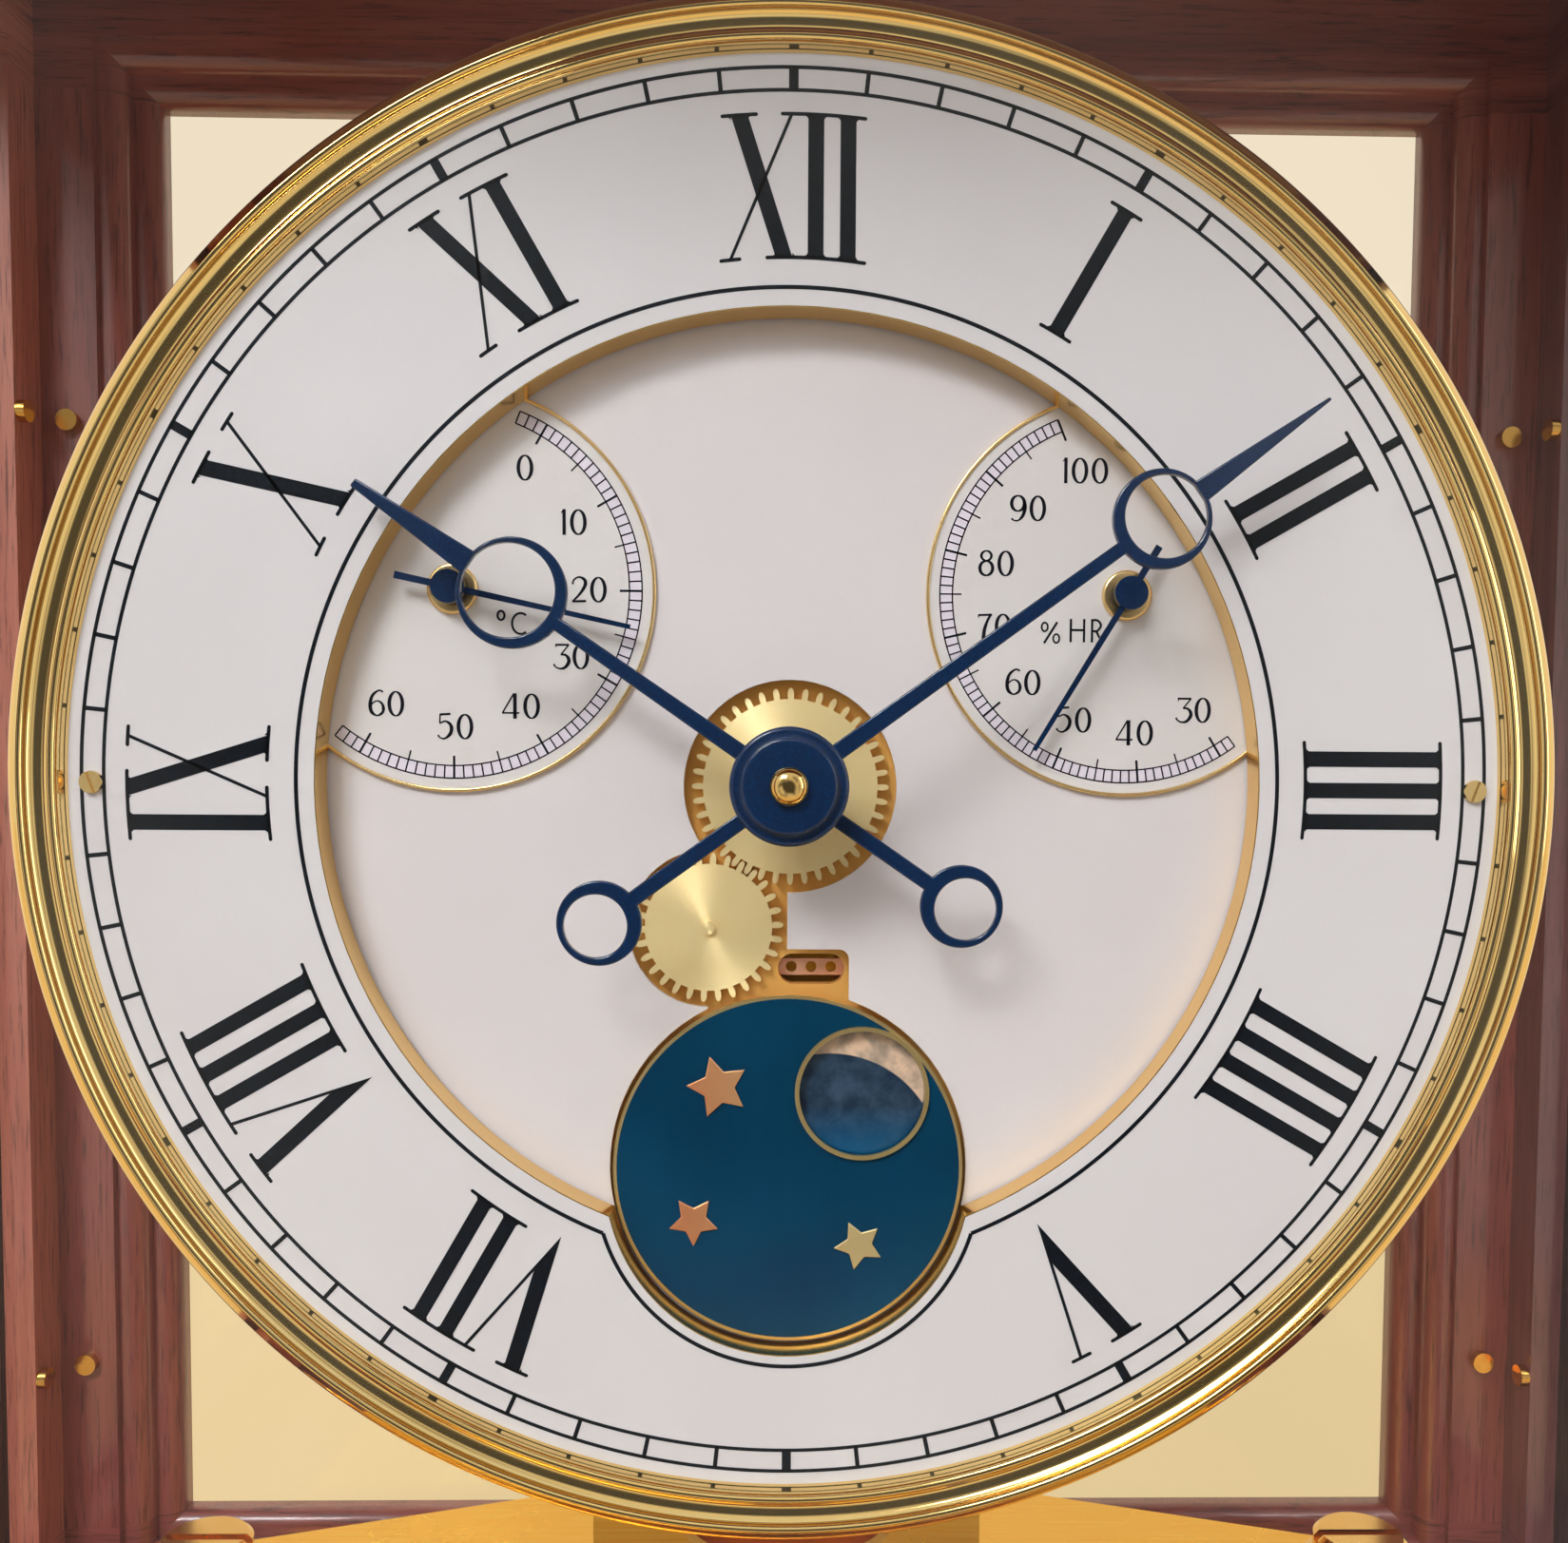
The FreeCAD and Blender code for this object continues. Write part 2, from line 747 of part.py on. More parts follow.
def moulded_board(label, half_width, half_depth, base, section):
    """A board with the same moulding on all four edges; the section gives inset and height."""
    prisms = []
    for half, length, turn in ((half_width, half_depth, 0), (half_depth, half_width, 90)):
        right = []
        left = []
        for point in section:
            right.append((half - point[0], point[1]) + ((half - point[2], point[3]) if len(point) == 4 else ()))
        for number in range(len(section) - 1, -1, -1):
            inset, height = section[number][:2]
            after = section[number + 1] if number + 1 < len(section) else ()
            left.append((inset - half, height) + ((after[2] - half, after[3]) if len(after) == 4 else ()))
        sketch = doc.addObject("Sketcher::SketchObject", label + "_section")
        sketch.Placement = Placement(
            Vector(0, 0, base), Rotation(Vector(0, 0, 1), turn) * Rotation(Vector(1, 0, 0), 90)
        )
        sketch.addGeometry(closed(right + left), False)
        prism = doc.addObject("Part::Extrusion", label + "_run")
        prism.Base = sketch
        prism.DirMode = "Normal"
        prism.LengthFwd = length
        prism.LengthRev = length
        prism.Solid = True
        prisms.append(prism)
    board = doc.addObject("Part::MultiCommon", label)
    board.Label = label
    board.Shapes = prisms
    nodes.append(board)
    return board


def make_base_and_top():
    lean = math.sqrt(0.5)
    ovolo = s.base_foot_land + s.base_ovolo
    shelf = ovolo + s.base_fillet
    cove = shelf + s.base_cove
    shelf_inset = s.base_ovolo
    cove_inset = shelf_inset + s.base_cove
    moulded_board("case_base", s.case_width / 2 + s.base_overhang, s.case_depth / 2 + s.base_overhang,
                  s.foot_height, [
                      (0.0, 0.0),
                      (0.0, s.base_foot_land),
                      (s.base_ovolo, ovolo, s.base_ovolo * (1 - lean), s.base_foot_land + s.base_ovolo * lean),
                      (shelf_inset, shelf),
                      (cove_inset, cove, shelf_inset + s.base_cove * lean, shelf + s.base_cove * (1 - lean)),
                      (cove_inset, s.base_height),
                  ])
    cove_top = s.top_bead + s.top_cove
    moulded_board("case_top", s.case_width / 2 + s.top_overhang, s.case_depth / 2 + s.top_overhang, ceiling_z, [
        (s.top_cove, 0.0),
        (s.top_cove, s.top_bead),
        (0.0, cove_top, s.top_cove * (1 - lean), s.top_bead + s.top_cove * (1 - lean)),
        (0.0, s.top_height - s.top_bead),
        (s.top_bead, s.top_height, s.top_bead * (1 - lean), s.top_height - s.top_bead * (1 - lean)),
    ])
    feet = []
    x = s.case_width / 2 + s.base_overhang - s.foot_inset
    y = s.case_depth / 2 + s.base_overhang - s.foot_inset
    for number, (side, end) in enumerate([(-1, -1), (1, -1), (1, 1), (-1, 1)], start=1):
        foot = doc.addObject("Part::Cone", "foot_%d" % number)
        bind(foot, "Radius1", "foot_radius - foot_taper")
        bind(foot, "Radius2", "foot_radius")
        bind(foot, "Height", "foot_height")
        foot.Placement = upright(side * x, end * y, 0.0)
        feet.append(foot)
    group("case_feet", feet)


def wall_place(turn, distance, height):
    """A local frame on a wall of the case: z points outwards; turn 0 is the front."""
    spin = Rotation(Vector(0, 0, 1), turn)
    return Placement(spin.multVec(Vector(0, -distance, 0)) + Vector(0, 0, height),
                     spin * Rotation(Vector(1, 0, 0), 90))


def glazed_frame(label, place, width, height, stile):
    """A frame with a moulding of two beads round its opening and a rebate for the pane behind it."""
    half = width / 2
    open_half = half - stile
    rail = s.rail_width
    face = s.frame_thickness

    def ring(wider):
        return rectangle(-open_half - wider, rail - wider, open_half + wider, height - rail + wider)

    def on_ring(point, wider, z):
        across = abs(abs(point.x) - open_half - wider) < s.fine_gap
        along = abs(abs(point.y - height / 2) - height / 2 + rail - wider) < s.fine_gap
        return (across or along) and abs(point.z - z) < s.fine_gap

    body = add_body(label, place)
    pad(body, "Board", rectangle(-half, 0.0, half, height), 0.0, "frame_thickness")
    cut(body, "OuterStep", ring(s.moulding_width), face - s.moulding_drop, "moulding_drop + overrun")
    cut(body, "InnerStep", ring(s.moulding_inner_width), face - s.moulding_inner_drop,
        "moulding_inner_drop + overrun")
    cut(body, "Opening", ring(0.0), -s.overrun, "frame_thickness + overrun * 2")
    cut(body, "Rebate", ring(s.rebate_width), -s.overrun, "rebate_depth + overrun")
    round_edges(body, lambda point: on_ring(point, s.moulding_inner_width, face - s.moulding_drop)
                or on_ring(point, 0.0, face - s.moulding_inner_drop), "moulding_round")
    return body


def glass_pane(label, place, width, height, stile, keep):
    """A pane that lies against the lip at the bottom of its rebate."""
    reach = width / 2 - stile + s.rebate_width - s.glass_gap
    lip = s.rail_width - s.rebate_width + s.glass_gap
    body = add_body(label, place, keep)
    pad(body, "Pane", rectangle(-reach, lip, reach, height - lip), s.rebate_depth - s.glass_thickness,
        "glass_thickness")
    return body


def make_case_walls():
    inner_x = s.case_width / 2 - s.frame_thickness
    inner_y = s.case_depth / 2 - s.frame_thickness
    height = s.frame_height
    stile = s.side_stile_width
    pins = []
    side_panes = []
    for side, turn, rear in (("left", -90, -1), ("right", 90, 1)):
        place = wall_place(turn, inner_x, floor_z)
        glazed_frame(side + "_side_frame", place, 2 * inner_y, height, stile)
        side_panes.append(glass_pane(side + "_glass", place, 2 * inner_y, height, stile, keep=False))
        pins += frame_pins(place, [rear * (inner_y - stile / 2)], -s.frame_pin_length, len(pins))
    # The rear frame shows its moulding to the inside and holds its pane from the rear
    place = wall_place(0, -s.case_depth / 2, floor_z)
    glazed_frame("rear_frame", place, s.case_width, height, s.rear_stile_width)
    glass_pane("rear_glass", place, s.case_width, height, s.rear_stile_width, keep=True)
    pin_x = inner_x - s.frame_pin_inset
    pins += frame_pins(place, [-pin_x, pin_x], s.frame_thickness, len(pins))
    group("side_glasses", side_panes)
    group("frame_pins", pins)
    place = wall_place(0, s.case_depth / 2 - s.frame_thickness + s.door_gap, floor_z + s.door_gap)
    width = s.case_width - 2 * s.door_gap
    height = s.frame_height - 2 * s.door_gap
    glazed_frame("door_frame", place, width, height, s.door_stile_width)
    glass_pane("door_glass", place, width, height, s.door_stile_width, keep=True)


def frame_pins(place, places_x, depth, count):
    """Brass buttons low and high on the stiles, where the frames are pinned together."""
    pins = []
    for x in places_x:
        for y in (s.frame_pin_low, s.frame_pin_high):
            spot = Placement(Vector(x, y, depth), Rotation())
            number = count + len(pins) + 1
            pins.append(cylinder("frame_pin_%d" % number, "frame_pin_radius", "frame_pin_length", place * spot))
    return pins


def make_door_hardware():
    axis_x = s.case_width / 2 + s.hinge_axis_out
    side_x = s.case_width / 2
    knuckle = s.hinge_height / 3
    case_parts = []
    door_parts = []
    for number, low in enumerate((floor_z + s.hinge_lift_height, ceiling_z - s.hinge_lift_height - s.hinge_height), start=1):
        leaf = box("hinge_case_leaf_%d" % number, "hinge_leaf_thickness", "hinge_leaf_reach - hinge_radius - hinge_gap",
                   "hinge_height", upright(side_x, door_face + s.hinge_radius + s.hinge_gap, low))
        pieces = [leaf]
        for step, place in (("low", low), ("high", low + 2 * knuckle)):
            pieces.append(cylinder("hinge_case_knuckle_%s_%d" % (step, number), "hinge_radius",
                                   "hinge_height / 3 - hinge_gap", upright(axis_x, door_face, place)))
            pieces.append(box("hinge_case_tab_%s_%d" % (step, number), "hinge_leaf_thickness",
                              "hinge_radius + hinge_gap * 2", "hinge_height / 3 - hinge_gap",
                              upright(side_x, door_face, place)))
        case_parts.append(unite("hinge_case_side_%d" % number, pieces))
        barrel = cylinder("hinge_door_knuckle_%d" % number, "hinge_radius", "hinge_height / 3 - hinge_gap",
                          upright(axis_x, door_face, low + knuckle))
        plate = box("hinge_door_leaf_%d" % number, "hinge_leaf_width + hinge_axis_out", "hinge_leaf_thickness",
                    "hinge_height / 3 - hinge_gap",
                    upright(side_x - s.hinge_leaf_width, door_face - s.hinge_leaf_thickness, low + knuckle))
        door_parts.append(unite("hinge_door_side_%d" % number, [barrel, plate]))
    group("case_hinge_leaves", case_parts)
    group("door_hinge_leaves", door_parts)
    knob = [
        (0.0, 0.0),
        (s.knob_neck_radius, 0.0),
        (s.knob_neck_radius, s.knob_length / 3),
        (s.knob_radius, s.knob_length / 2),
        (s.knob_radius, s.knob_length * 3 / 4),
        (s.knob_neck_radius, s.knob_length),
        (0.0, s.knob_length),
    ]
    knob_x = s.door_stile_width / 2 - s.case_width / 2
    knob_place = Placement(Vector(knob_x, door_face, floor_z + s.frame_height / 2), Rotation(Vector(1, 0, 0), 90))
    turned("door_knob", knob_place, knob)


# Floor of the case


def make_floor():
    plate = add_body("floor_plate", upright(0.0, 0.0, floor_z))
    half_x = s.case_width / 2 - s.frame_thickness - s.floor_plate_side_margin
    half_y = s.case_depth / 2 - s.frame_thickness - s.floor_plate_end_margin
    pad(plate, "Sheet", rounded_rectangle(-half_x, -half_y, half_x, half_y, s.floor_plate_corner),
        0.0, "floor_plate_thickness")
    level_y = s.level_front - half_y
    cup = [
        (0.0, 0.0),
        (s.level_radius, 0.0),
        (s.level_radius, s.level_height),
        (s.level_radius - s.level_wall, s.level_height),
        (s.level_radius - s.level_wall, s.level_wall),
        (0.0, s.level_wall),
    ]
    turned("spirit_level", upright(0.0, level_y, floor_top), cup)
    lever = add_body("lock_lever", upright(s.lever_pivot_x, s.lever_pivot_front - half_y, floor_top, LEVER_ANGLE))
    pad_disc(lever, "Boss", "lever_pivot_radius", 0.0, "lever_thickness * 2")
    half = s.lever_width / 2
    pad(lever, "Arm", rounded_rectangle(-half, -s.lever_front_arm - half, half, s.lever_rear_arm + half, half),
        s.glass_gap, "lever_thickness")
    pad(lever, "Knob", [circle(0.0, -s.lever_front_arm, s.lever_knob_radius)], s.glass_gap, "lever_knob_height")


def make_platform():
    collar = s.pillar_collar_height
    top = s.pillar_height
    flare = collar + s.pillar_flare
    path = [
        (0.0, 0.0),
        (s.pillar_collar_radius, 0.0),
        (s.pillar_collar_radius, collar),
        (s.pillar_radius, flare),
        (s.pillar_radius, top - flare),
        (s.pillar_collar_radius, top - collar),
        (s.pillar_collar_radius, top),
        (0.0, top),
    ]
    pillars = []
    screws = []
    for number, (x, y) in enumerate(pillar_places, start=1):
        pillars.append(turned("platform_pillar_%d" % number, upright(x, y, floor_top), path, keep=False))
        screws.append(slotted_screw(number, x, y))
    group("platform_pillars", pillars)
    group("platform_screws", screws)
    platform = add_body("platform", upright(0.0, dial_y, platform_z))
    pad(platform, "Plate", closed(platform_path()), 0.0, "platform_thickness")
    cut(platform, "WireHole", [circle(0.0, s.balance_depth, s.tube_bore)],
        -s.overrun, "platform_thickness + overrun * 2")
    break_edges(platform, lambda point: point.z > s.platform_thickness - s.platform_chamfer / 2
                and math.hypot(point.x, point.y - s.balance_depth) > s.tube_radius, "platform_chamfer")


def platform_path():
    """A bar between the front pillars whose rear edge rises to an arm that runs to the rear pillar."""
    spread = s.pillar_spread
    end = s.platform_end_radius
    arm = s.platform_arm_radius
    front = s.platform_front_depth
    depth = s.front_pillar_depth
    shoulder = s.platform_shoulder_depth
    back = s.rear_pillar_depth
    slope = math.atan2(shoulder - depth - end, spread - arm)
    rise_x = end * math.sin(slope)
    rise_y = end * math.cos(slope)
    outer_x = end * math.cos(slope / 2)
    outer_y = end * math.sin(slope / 2)
    return [
        (-spread, front),
        (spread, front),
        (spread + end, depth),
        (spread + rise_x, depth + rise_y, spread + outer_x, depth + outer_y),
        (arm, shoulder),
        (arm, back),
        (-arm, back, 0.0, back + arm),
        (-arm, shoulder),
        (-spread - rise_x, depth + rise_y),
        (-spread - end, depth, -spread - outer_x, depth + outer_y),
    ]


def slotted_screw(number, x, y):
    """A large round-headed screw on a flange."""
    screw = add_body("platform_screw_%d" % number, upright(x, y, platform_top), keep=False)
    pad_disc(screw, "Flange", "screw_flange_radius", 0.0, "screw_flange_height")
    pad_disc(screw, "Head", "screw_head_radius", 0.0, "screw_flange_height + screw_head_height")
    top = s.screw_flange_height + s.screw_head_height
    break_edges(screw, lambda point: point.z > top - s.screw_slot_width / 4, "screw_slot_width / 2")
    half = s.screw_slot_width / 2
    long = s.screw_head_radius + s.overrun
    cut(screw, "Slot", rectangle(-long, -half, long, half), top - s.screw_slot_depth,
        "screw_slot_depth + overrun")
    return screw


# Torsion balance


def make_balance():
    rim_top = platform_z - s.balance_drop
    rim_base = rim_top - s.balance_rim_height
    hub_top = platform_z - s.balance_hub_top
    balance = add_body("balance_wheel", upright(0.0, balance_y, 0.0))
    pad_disc(balance, "Rim", "balance_radius", rim_base, "balance_rim_height")
    cut_disc(balance, "RimOpening", "balance_radius - balance_rim_width", rim_base - s.overrun,
             "balance_rim_height + overrun * 2")
    middle = rim_base + (s.balance_rim_height - s.balance_spoke_height) / 2
    pad_disc(balance, "Hub", "balance_hub_radius", hub_top - s.balance_hub_height, "balance_hub_height")
    reach = s.balance_radius - s.balance_rim_width / 2
    half = s.balance_spoke_width / 2
    spoke = pad(balance, "Spoke", rectangle(0.0, -half, reach, half), middle, "balance_spoke_height")
    around(balance, spoke, 3)
    for side, low in (("Upper", rim_top), ("Lower", rim_base - s.balance_weight_rise)):
        weight = pad(balance, side + "Weight", [circle(reach, 0.0, s.balance_weight_radius)], low,
                     "balance_weight_rise")
        around(balance, weight, 4)
    wire_top = axis_z + s.plate_top + s.tube_cap_height / 2
    tube_top = axis_z + s.plate_top + s.tube_cap_height
    wire = turned("torsion_wire", upright(0.0, balance_y, 0.0), [
        (0.0, hub_top),
        (s.wire_radius, hub_top),
        (s.wire_radius, wire_top),
        (0.0, wire_top),
    ])
    tube = [
        (s.tube_bore, platform_top),
        (s.tube_foot_radius, platform_top),
        (s.tube_foot_radius, platform_top + s.tube_foot_height),
        (s.tube_radius, platform_top + s.tube_foot_height),
        (s.tube_radius, axis_z + s.plate_top),
        (s.tube_cap_radius, axis_z + s.plate_top),
        (s.tube_cap_radius, tube_top),
        (0.0, tube_top),
        (0.0, wire_top),
        (s.tube_bore, wire_top),
    ]
    turned("suspension_tube", upright(0.0, balance_y, 0.0), tube, keep=False)
    bracket = add_body("suspension_arm", upright(0.0, dial_y + s.back_plate_back, axis_z + s.plate_top), keep=False)
    half = s.bracket_width / 2
    pad(bracket, "Arm", rectangle(-half, 0.0, half, s.bracket_reach), -s.bracket_height, "bracket_height")
    cut(bracket, "Bore", [circle(0.0, s.balance_depth - s.back_plate_back, s.tube_bore + s.pivot_gap)],
        -s.bracket_height - s.overrun, "bracket_height + overrun * 2")
    nodes.append(unite("suspension_bracket", [doc.getObject("suspension_tube"), bracket]))


# Movement


def movement_plate(label, front, bores):
    """One plate of the movement, standing on the platform, with a bore for each arbor."""
    base = platform_top - axis_z
    half = s.plate_half_width
    body = add_body(label, facing(depth=front + s.plate_thickness))
    corner = s.plate_corner
    bulge = corner * (1 - math.sqrt(0.5))
    foot = s.plate_foot_half_width
    foot_top = base + s.plate_foot_height
    shoulder = foot_top + s.plate_shoulder_height
    outline = closed([
        (-foot, base),
        (foot, base),
        (foot, foot_top),
        (half, shoulder),
        (half, s.plate_top - corner),
        (half - corner, s.plate_top, half - bulge, s.plate_top - bulge),
        (corner - half, s.plate_top),
        (-half, s.plate_top - corner, bulge - half, s.plate_top - bulge),
        (-half, shoulder),
        (-foot, foot_top),
    ])
    pad(body, "Plate", outline, 0.0, "plate_thickness")
    window = s.plate_window_width / 2
    sill = base + s.plate_window_sill
    cut(body, "Window", rounded_rectangle(-window, sill, window, sill + s.plate_window_height,
                                          s.plate_window_corner),
        -s.overrun, "plate_thickness + overrun * 2")
    holes = [circle(at[0], at[1], radius + s.pivot_gap) for at, radius in bores]
    cut(body, "Bores", holes, -s.overrun, "plate_thickness + overrun * 2")
    return body


def rod(label, radius, at, front, back):
    """A plain round pillar between two depths."""
    solid = doc.addObject("Part::Cylinder", label)
    bind(solid, "Radius", radius)
    solid.Height = back - front
    solid.Placement = facing(at, back)
    return solid


def make_plates():
    movement_plate("movement_front_plate", s.front_plate, [
        ((0.0, 0.0), s.centre_arbor_radius),
        (barrel_at, s.barrel_arbor_radius),
        (escape_at, s.pivot_radius),
        (pallet_at, s.pivot_radius),
        (minute_wheel_at, s.pivot_radius),
        (month_at, s.pivot_radius),
        (moon_at, s.moon_arbor_radius),
    ])
    movement_plate("movement_back_plate", s.back_plate, [
        ((0.0, 0.0), s.centre_arbor_radius),
        (barrel_at, s.barrel_arbor_radius),
        (escape_at, s.pivot_radius),
        (pallet_at, s.pivot_radius),
    ])
    pillar_x = s.plate_half_width - s.movement_pillar_inset
    low_x = (s.plate_foot_half_width + s.plate_window_width / 2) / 2
    low = platform_top - axis_z + s.movement_pillar_inset
    high = s.plate_top - s.movement_pillar_inset
    pillars = []
    for side in (-1, 1):
        for x, up in ((low_x, low), (pillar_x, high)):
            pillars.append(rod("plate_pillar_%d" % (len(pillars) + 1), "movement_pillar_radius",
                               (side * x, up), s.front_plate_back, s.back_plate))
        for up in (-s.dial_pillar_down, s.dial_pillar_up):
            pillars.append(rod("dial_pillar_%d" % (len(pillars) + 1), "dial_pillar_radius",
                               (side * s.dial_pillar_x, up), s.train_back, s.front_plate))
        for up in (-s.bellows_drop - s.bellows_post_rise, s.bellows_post_rise - s.bellows_drop):
            pillars.append(rod("bellows_pillar_%d" % (len(pillars) + 1), "bellows_post_radius",
                               (side * s.bellows_post_x, up), s.back_plate_back, s.bellows_front))
    group("movement_pillars", pillars)


def make_bellows():
    """The sealed drum behind the movement that winds the mainspring."""
    at = (0.0, -s.bellows_drop)
    rim = s.bellows_cover_thickness
    length = s.bellows_length + rim
    edge = s.bellows_edge
    bulge = edge * (1 - math.sqrt(0.5))
    turned("bellows_drum", facing(at, s.bellows_front + length), [
        (0.0, length),
        (s.bellows_cover_radius, length),
        (s.bellows_cover_radius, s.bellows_length),
        (s.bellows_radius, s.bellows_length),
        (s.bellows_radius, edge),
        (s.bellows_radius - edge, 0.0, s.bellows_radius - bulge, bulge),
        (s.bellows_hub_radius, 0.0),
        (s.bellows_hub_radius, -s.bellows_hub_length),
        (0.0, -s.bellows_hub_length),
    ])


def shaft(label, at):
    """An arbor's local frame is at the chapter ring's front, so a depth is a negative height."""
    return add_body(label, facing(at))


def lift(depth):
    return -depth


def make_going_train():
    barrel = shaft("mainspring_barrel", barrel_at)
    pinion_turn = 0.0
    towards = direction(barrel_at, (0.0, 0.0))
    wheel_turn = meshing_turn(BARREL_TEETH, CENTRE_LEAVES, towards, pinion_turn)
    pad(barrel, "Teeth", tooth_ring(BARREL_TEETH, s.barrel_module, wheel_turn), lift(s.barrel_wheel_back),
        "barrel_wheel_thickness")
    pad_disc(barrel, "Drum", "barrel_radius", lift(s.barrel_back), "barrel_length")
    between_plates = "back_plate_back - front_plate"
    pad(barrel, "Arbor", [circle(0.0, 0.0, s.barrel_arbor_radius)], lift(s.back_plate_back), between_plates)
    centre = shaft("centre_wheel", (0.0, 0.0))
    centre_turn = 0.0
    pad(centre, "Teeth", tooth_ring(CENTRE_TEETH, s.train_module, centre_turn), lift(s.going_wheel_back),
        "wheel_thickness")
    rim = CENTRE_TEETH * s.train_module / 2 - DEDENDUM_SHARE * s.train_module * 3
    hub = s.centre_arbor_radius * 3
    spoked(centre, "Spokes", 5, rim, hub, s.centre_arbor_radius * 3 / 2, lift(s.going_wheel_back) - s.overrun,
           "wheel_thickness + overrun * 2")
    pad(centre, "Leaves", tooth_ring(CENTRE_LEAVES, s.barrel_module, pinion_turn),
        lift(s.barrel_wheel_back + s.pinion_length / 4), "barrel_wheel_thickness + pinion_length / 2")
    pad(centre, "Arbor", [circle(0.0, 0.0, s.centre_arbor_radius)], lift(s.back_plate_back),
        "back_plate_back + hands_front - hand_thickness")
    escape = shaft("escape_wheel", escape_at)
    tip = s.escape_radius
    root = s.escape_radius - s.escape_tooth
    path = []
    for tooth in range(ESCAPE_TEETH):
        start = 360.0 / ESCAPE_TEETH * tooth
        path.append(polar(start, root))
        path.append(polar(start + 144.0 / ESCAPE_TEETH, tip))
        path.append(polar(start + 180.0 / ESCAPE_TEETH, tip))
    pad(escape, "Teeth", closed(path), lift(s.escape_back), "escape_thickness")
    escape_turn = meshing_turn(ESCAPE_LEAVES, CENTRE_TEETH, direction(escape_at, (0.0, 0.0)), centre_turn)
    pad(escape, "Leaves", tooth_ring(ESCAPE_LEAVES, s.train_module, escape_turn),
        lift(s.going_wheel_back + s.pinion_length / 4), "wheel_thickness + pinion_length / 2")
    pad(escape, "Arbor", [circle(0.0, 0.0, s.pivot_radius)], lift(s.back_plate_back), between_plates)
    pallet = shaft("pallet_fork", pallet_at)
    reach = s.pallet_reach
    width = s.pallet_width
    foot = (math.sqrt((s.escape_radius + s.pallet_gap) ** 2 - (reach - width) ** 2) - s.pallet_distance)
    outer_foot = math.sqrt((s.escape_radius + s.pallet_gap) ** 2 - reach ** 2) - s.pallet_distance
    fork = closed([
        (reach, outer_foot + width / 2),
        (reach, outer_foot + width * 2),
        (width, width),
        (width / 2, s.pallet_tail),
        (-width / 2, s.pallet_tail),
        (-width, width),
        (-reach, outer_foot + width * 2),
        (-reach, outer_foot + width / 2),
        (width - reach, foot + width / 2),
        (width * 3 / 2 - reach, foot + width * 3 / 2),
        (0.0, -width),
        (reach - width * 3 / 2, foot + width * 3 / 2),
        (reach - width, foot + width / 2),
    ])
    pad(pallet, "Fork", fork, lift(s.escape_back + s.pallet_gap / 4), "pallet_thickness")
    pad(pallet, "Arbor", [circle(0.0, 0.0, s.pivot_radius)], lift(s.back_plate_back), between_plates)


def make_motion_work():
    cannon = shaft("cannon_pinion", (0.0, 0.0))
    towards = direction(minute_wheel_at, (0.0, 0.0))
    pad(cannon, "Leaves", tooth_ring(CANNON_LEAVES, s.cannon_module), lift(s.minute_back), "wheel_thickness")
    pipe = "minute_back + minute_hand_depth + hand_thickness + minute_collar_rise"
    pad(cannon, "Pipe", [circle(0.0, 0.0, s.cannon_radius)], lift(s.minute_back), pipe)
    cut_disc(cannon, "Bore", "cannon_bore", lift(s.minute_back) - s.overrun, pipe + " + overrun * 2")
    minute = shaft("minute_wheel", minute_wheel_at)
    minute_turn = meshing_turn(MINUTE_TEETH, CANNON_LEAVES, towards, 0.0)
    pad(minute, "Teeth", tooth_ring(MINUTE_TEETH, s.cannon_module, minute_turn), lift(s.minute_back),
        "wheel_thickness")
    pad(minute, "Leaves", tooth_ring(MINUTE_LEAVES, s.motion_module, minute_turn),
        lift(s.hour_back + s.wheel_gap), "wheel_thickness + wheel_gap")
    pad(minute, "Arbor", [circle(0.0, 0.0, s.pivot_radius)], lift(s.front_plate_back),
        "front_plate_back - train_back")
    hour = shaft("hour_wheel", (0.0, 0.0))
    away = direction((0.0, 0.0), minute_wheel_at)
    hour_turn = meshing_turn(HOUR_TEETH, MINUTE_LEAVES, away, minute_turn)
    pad(hour, "Teeth", tooth_ring(HOUR_TEETH, s.motion_module, hour_turn), lift(s.hour_back), "wheel_thickness")
    pipe = "hour_back + hour_hand_depth"
    pad(hour, "Pipe", [circle(0.0, 0.0, s.hour_pipe_radius)], lift(s.hour_back), pipe)
    cut_disc(hour, "Bore", "hour_pipe_bore", lift(s.hour_back) - s.overrun, pipe + " + overrun * 2")


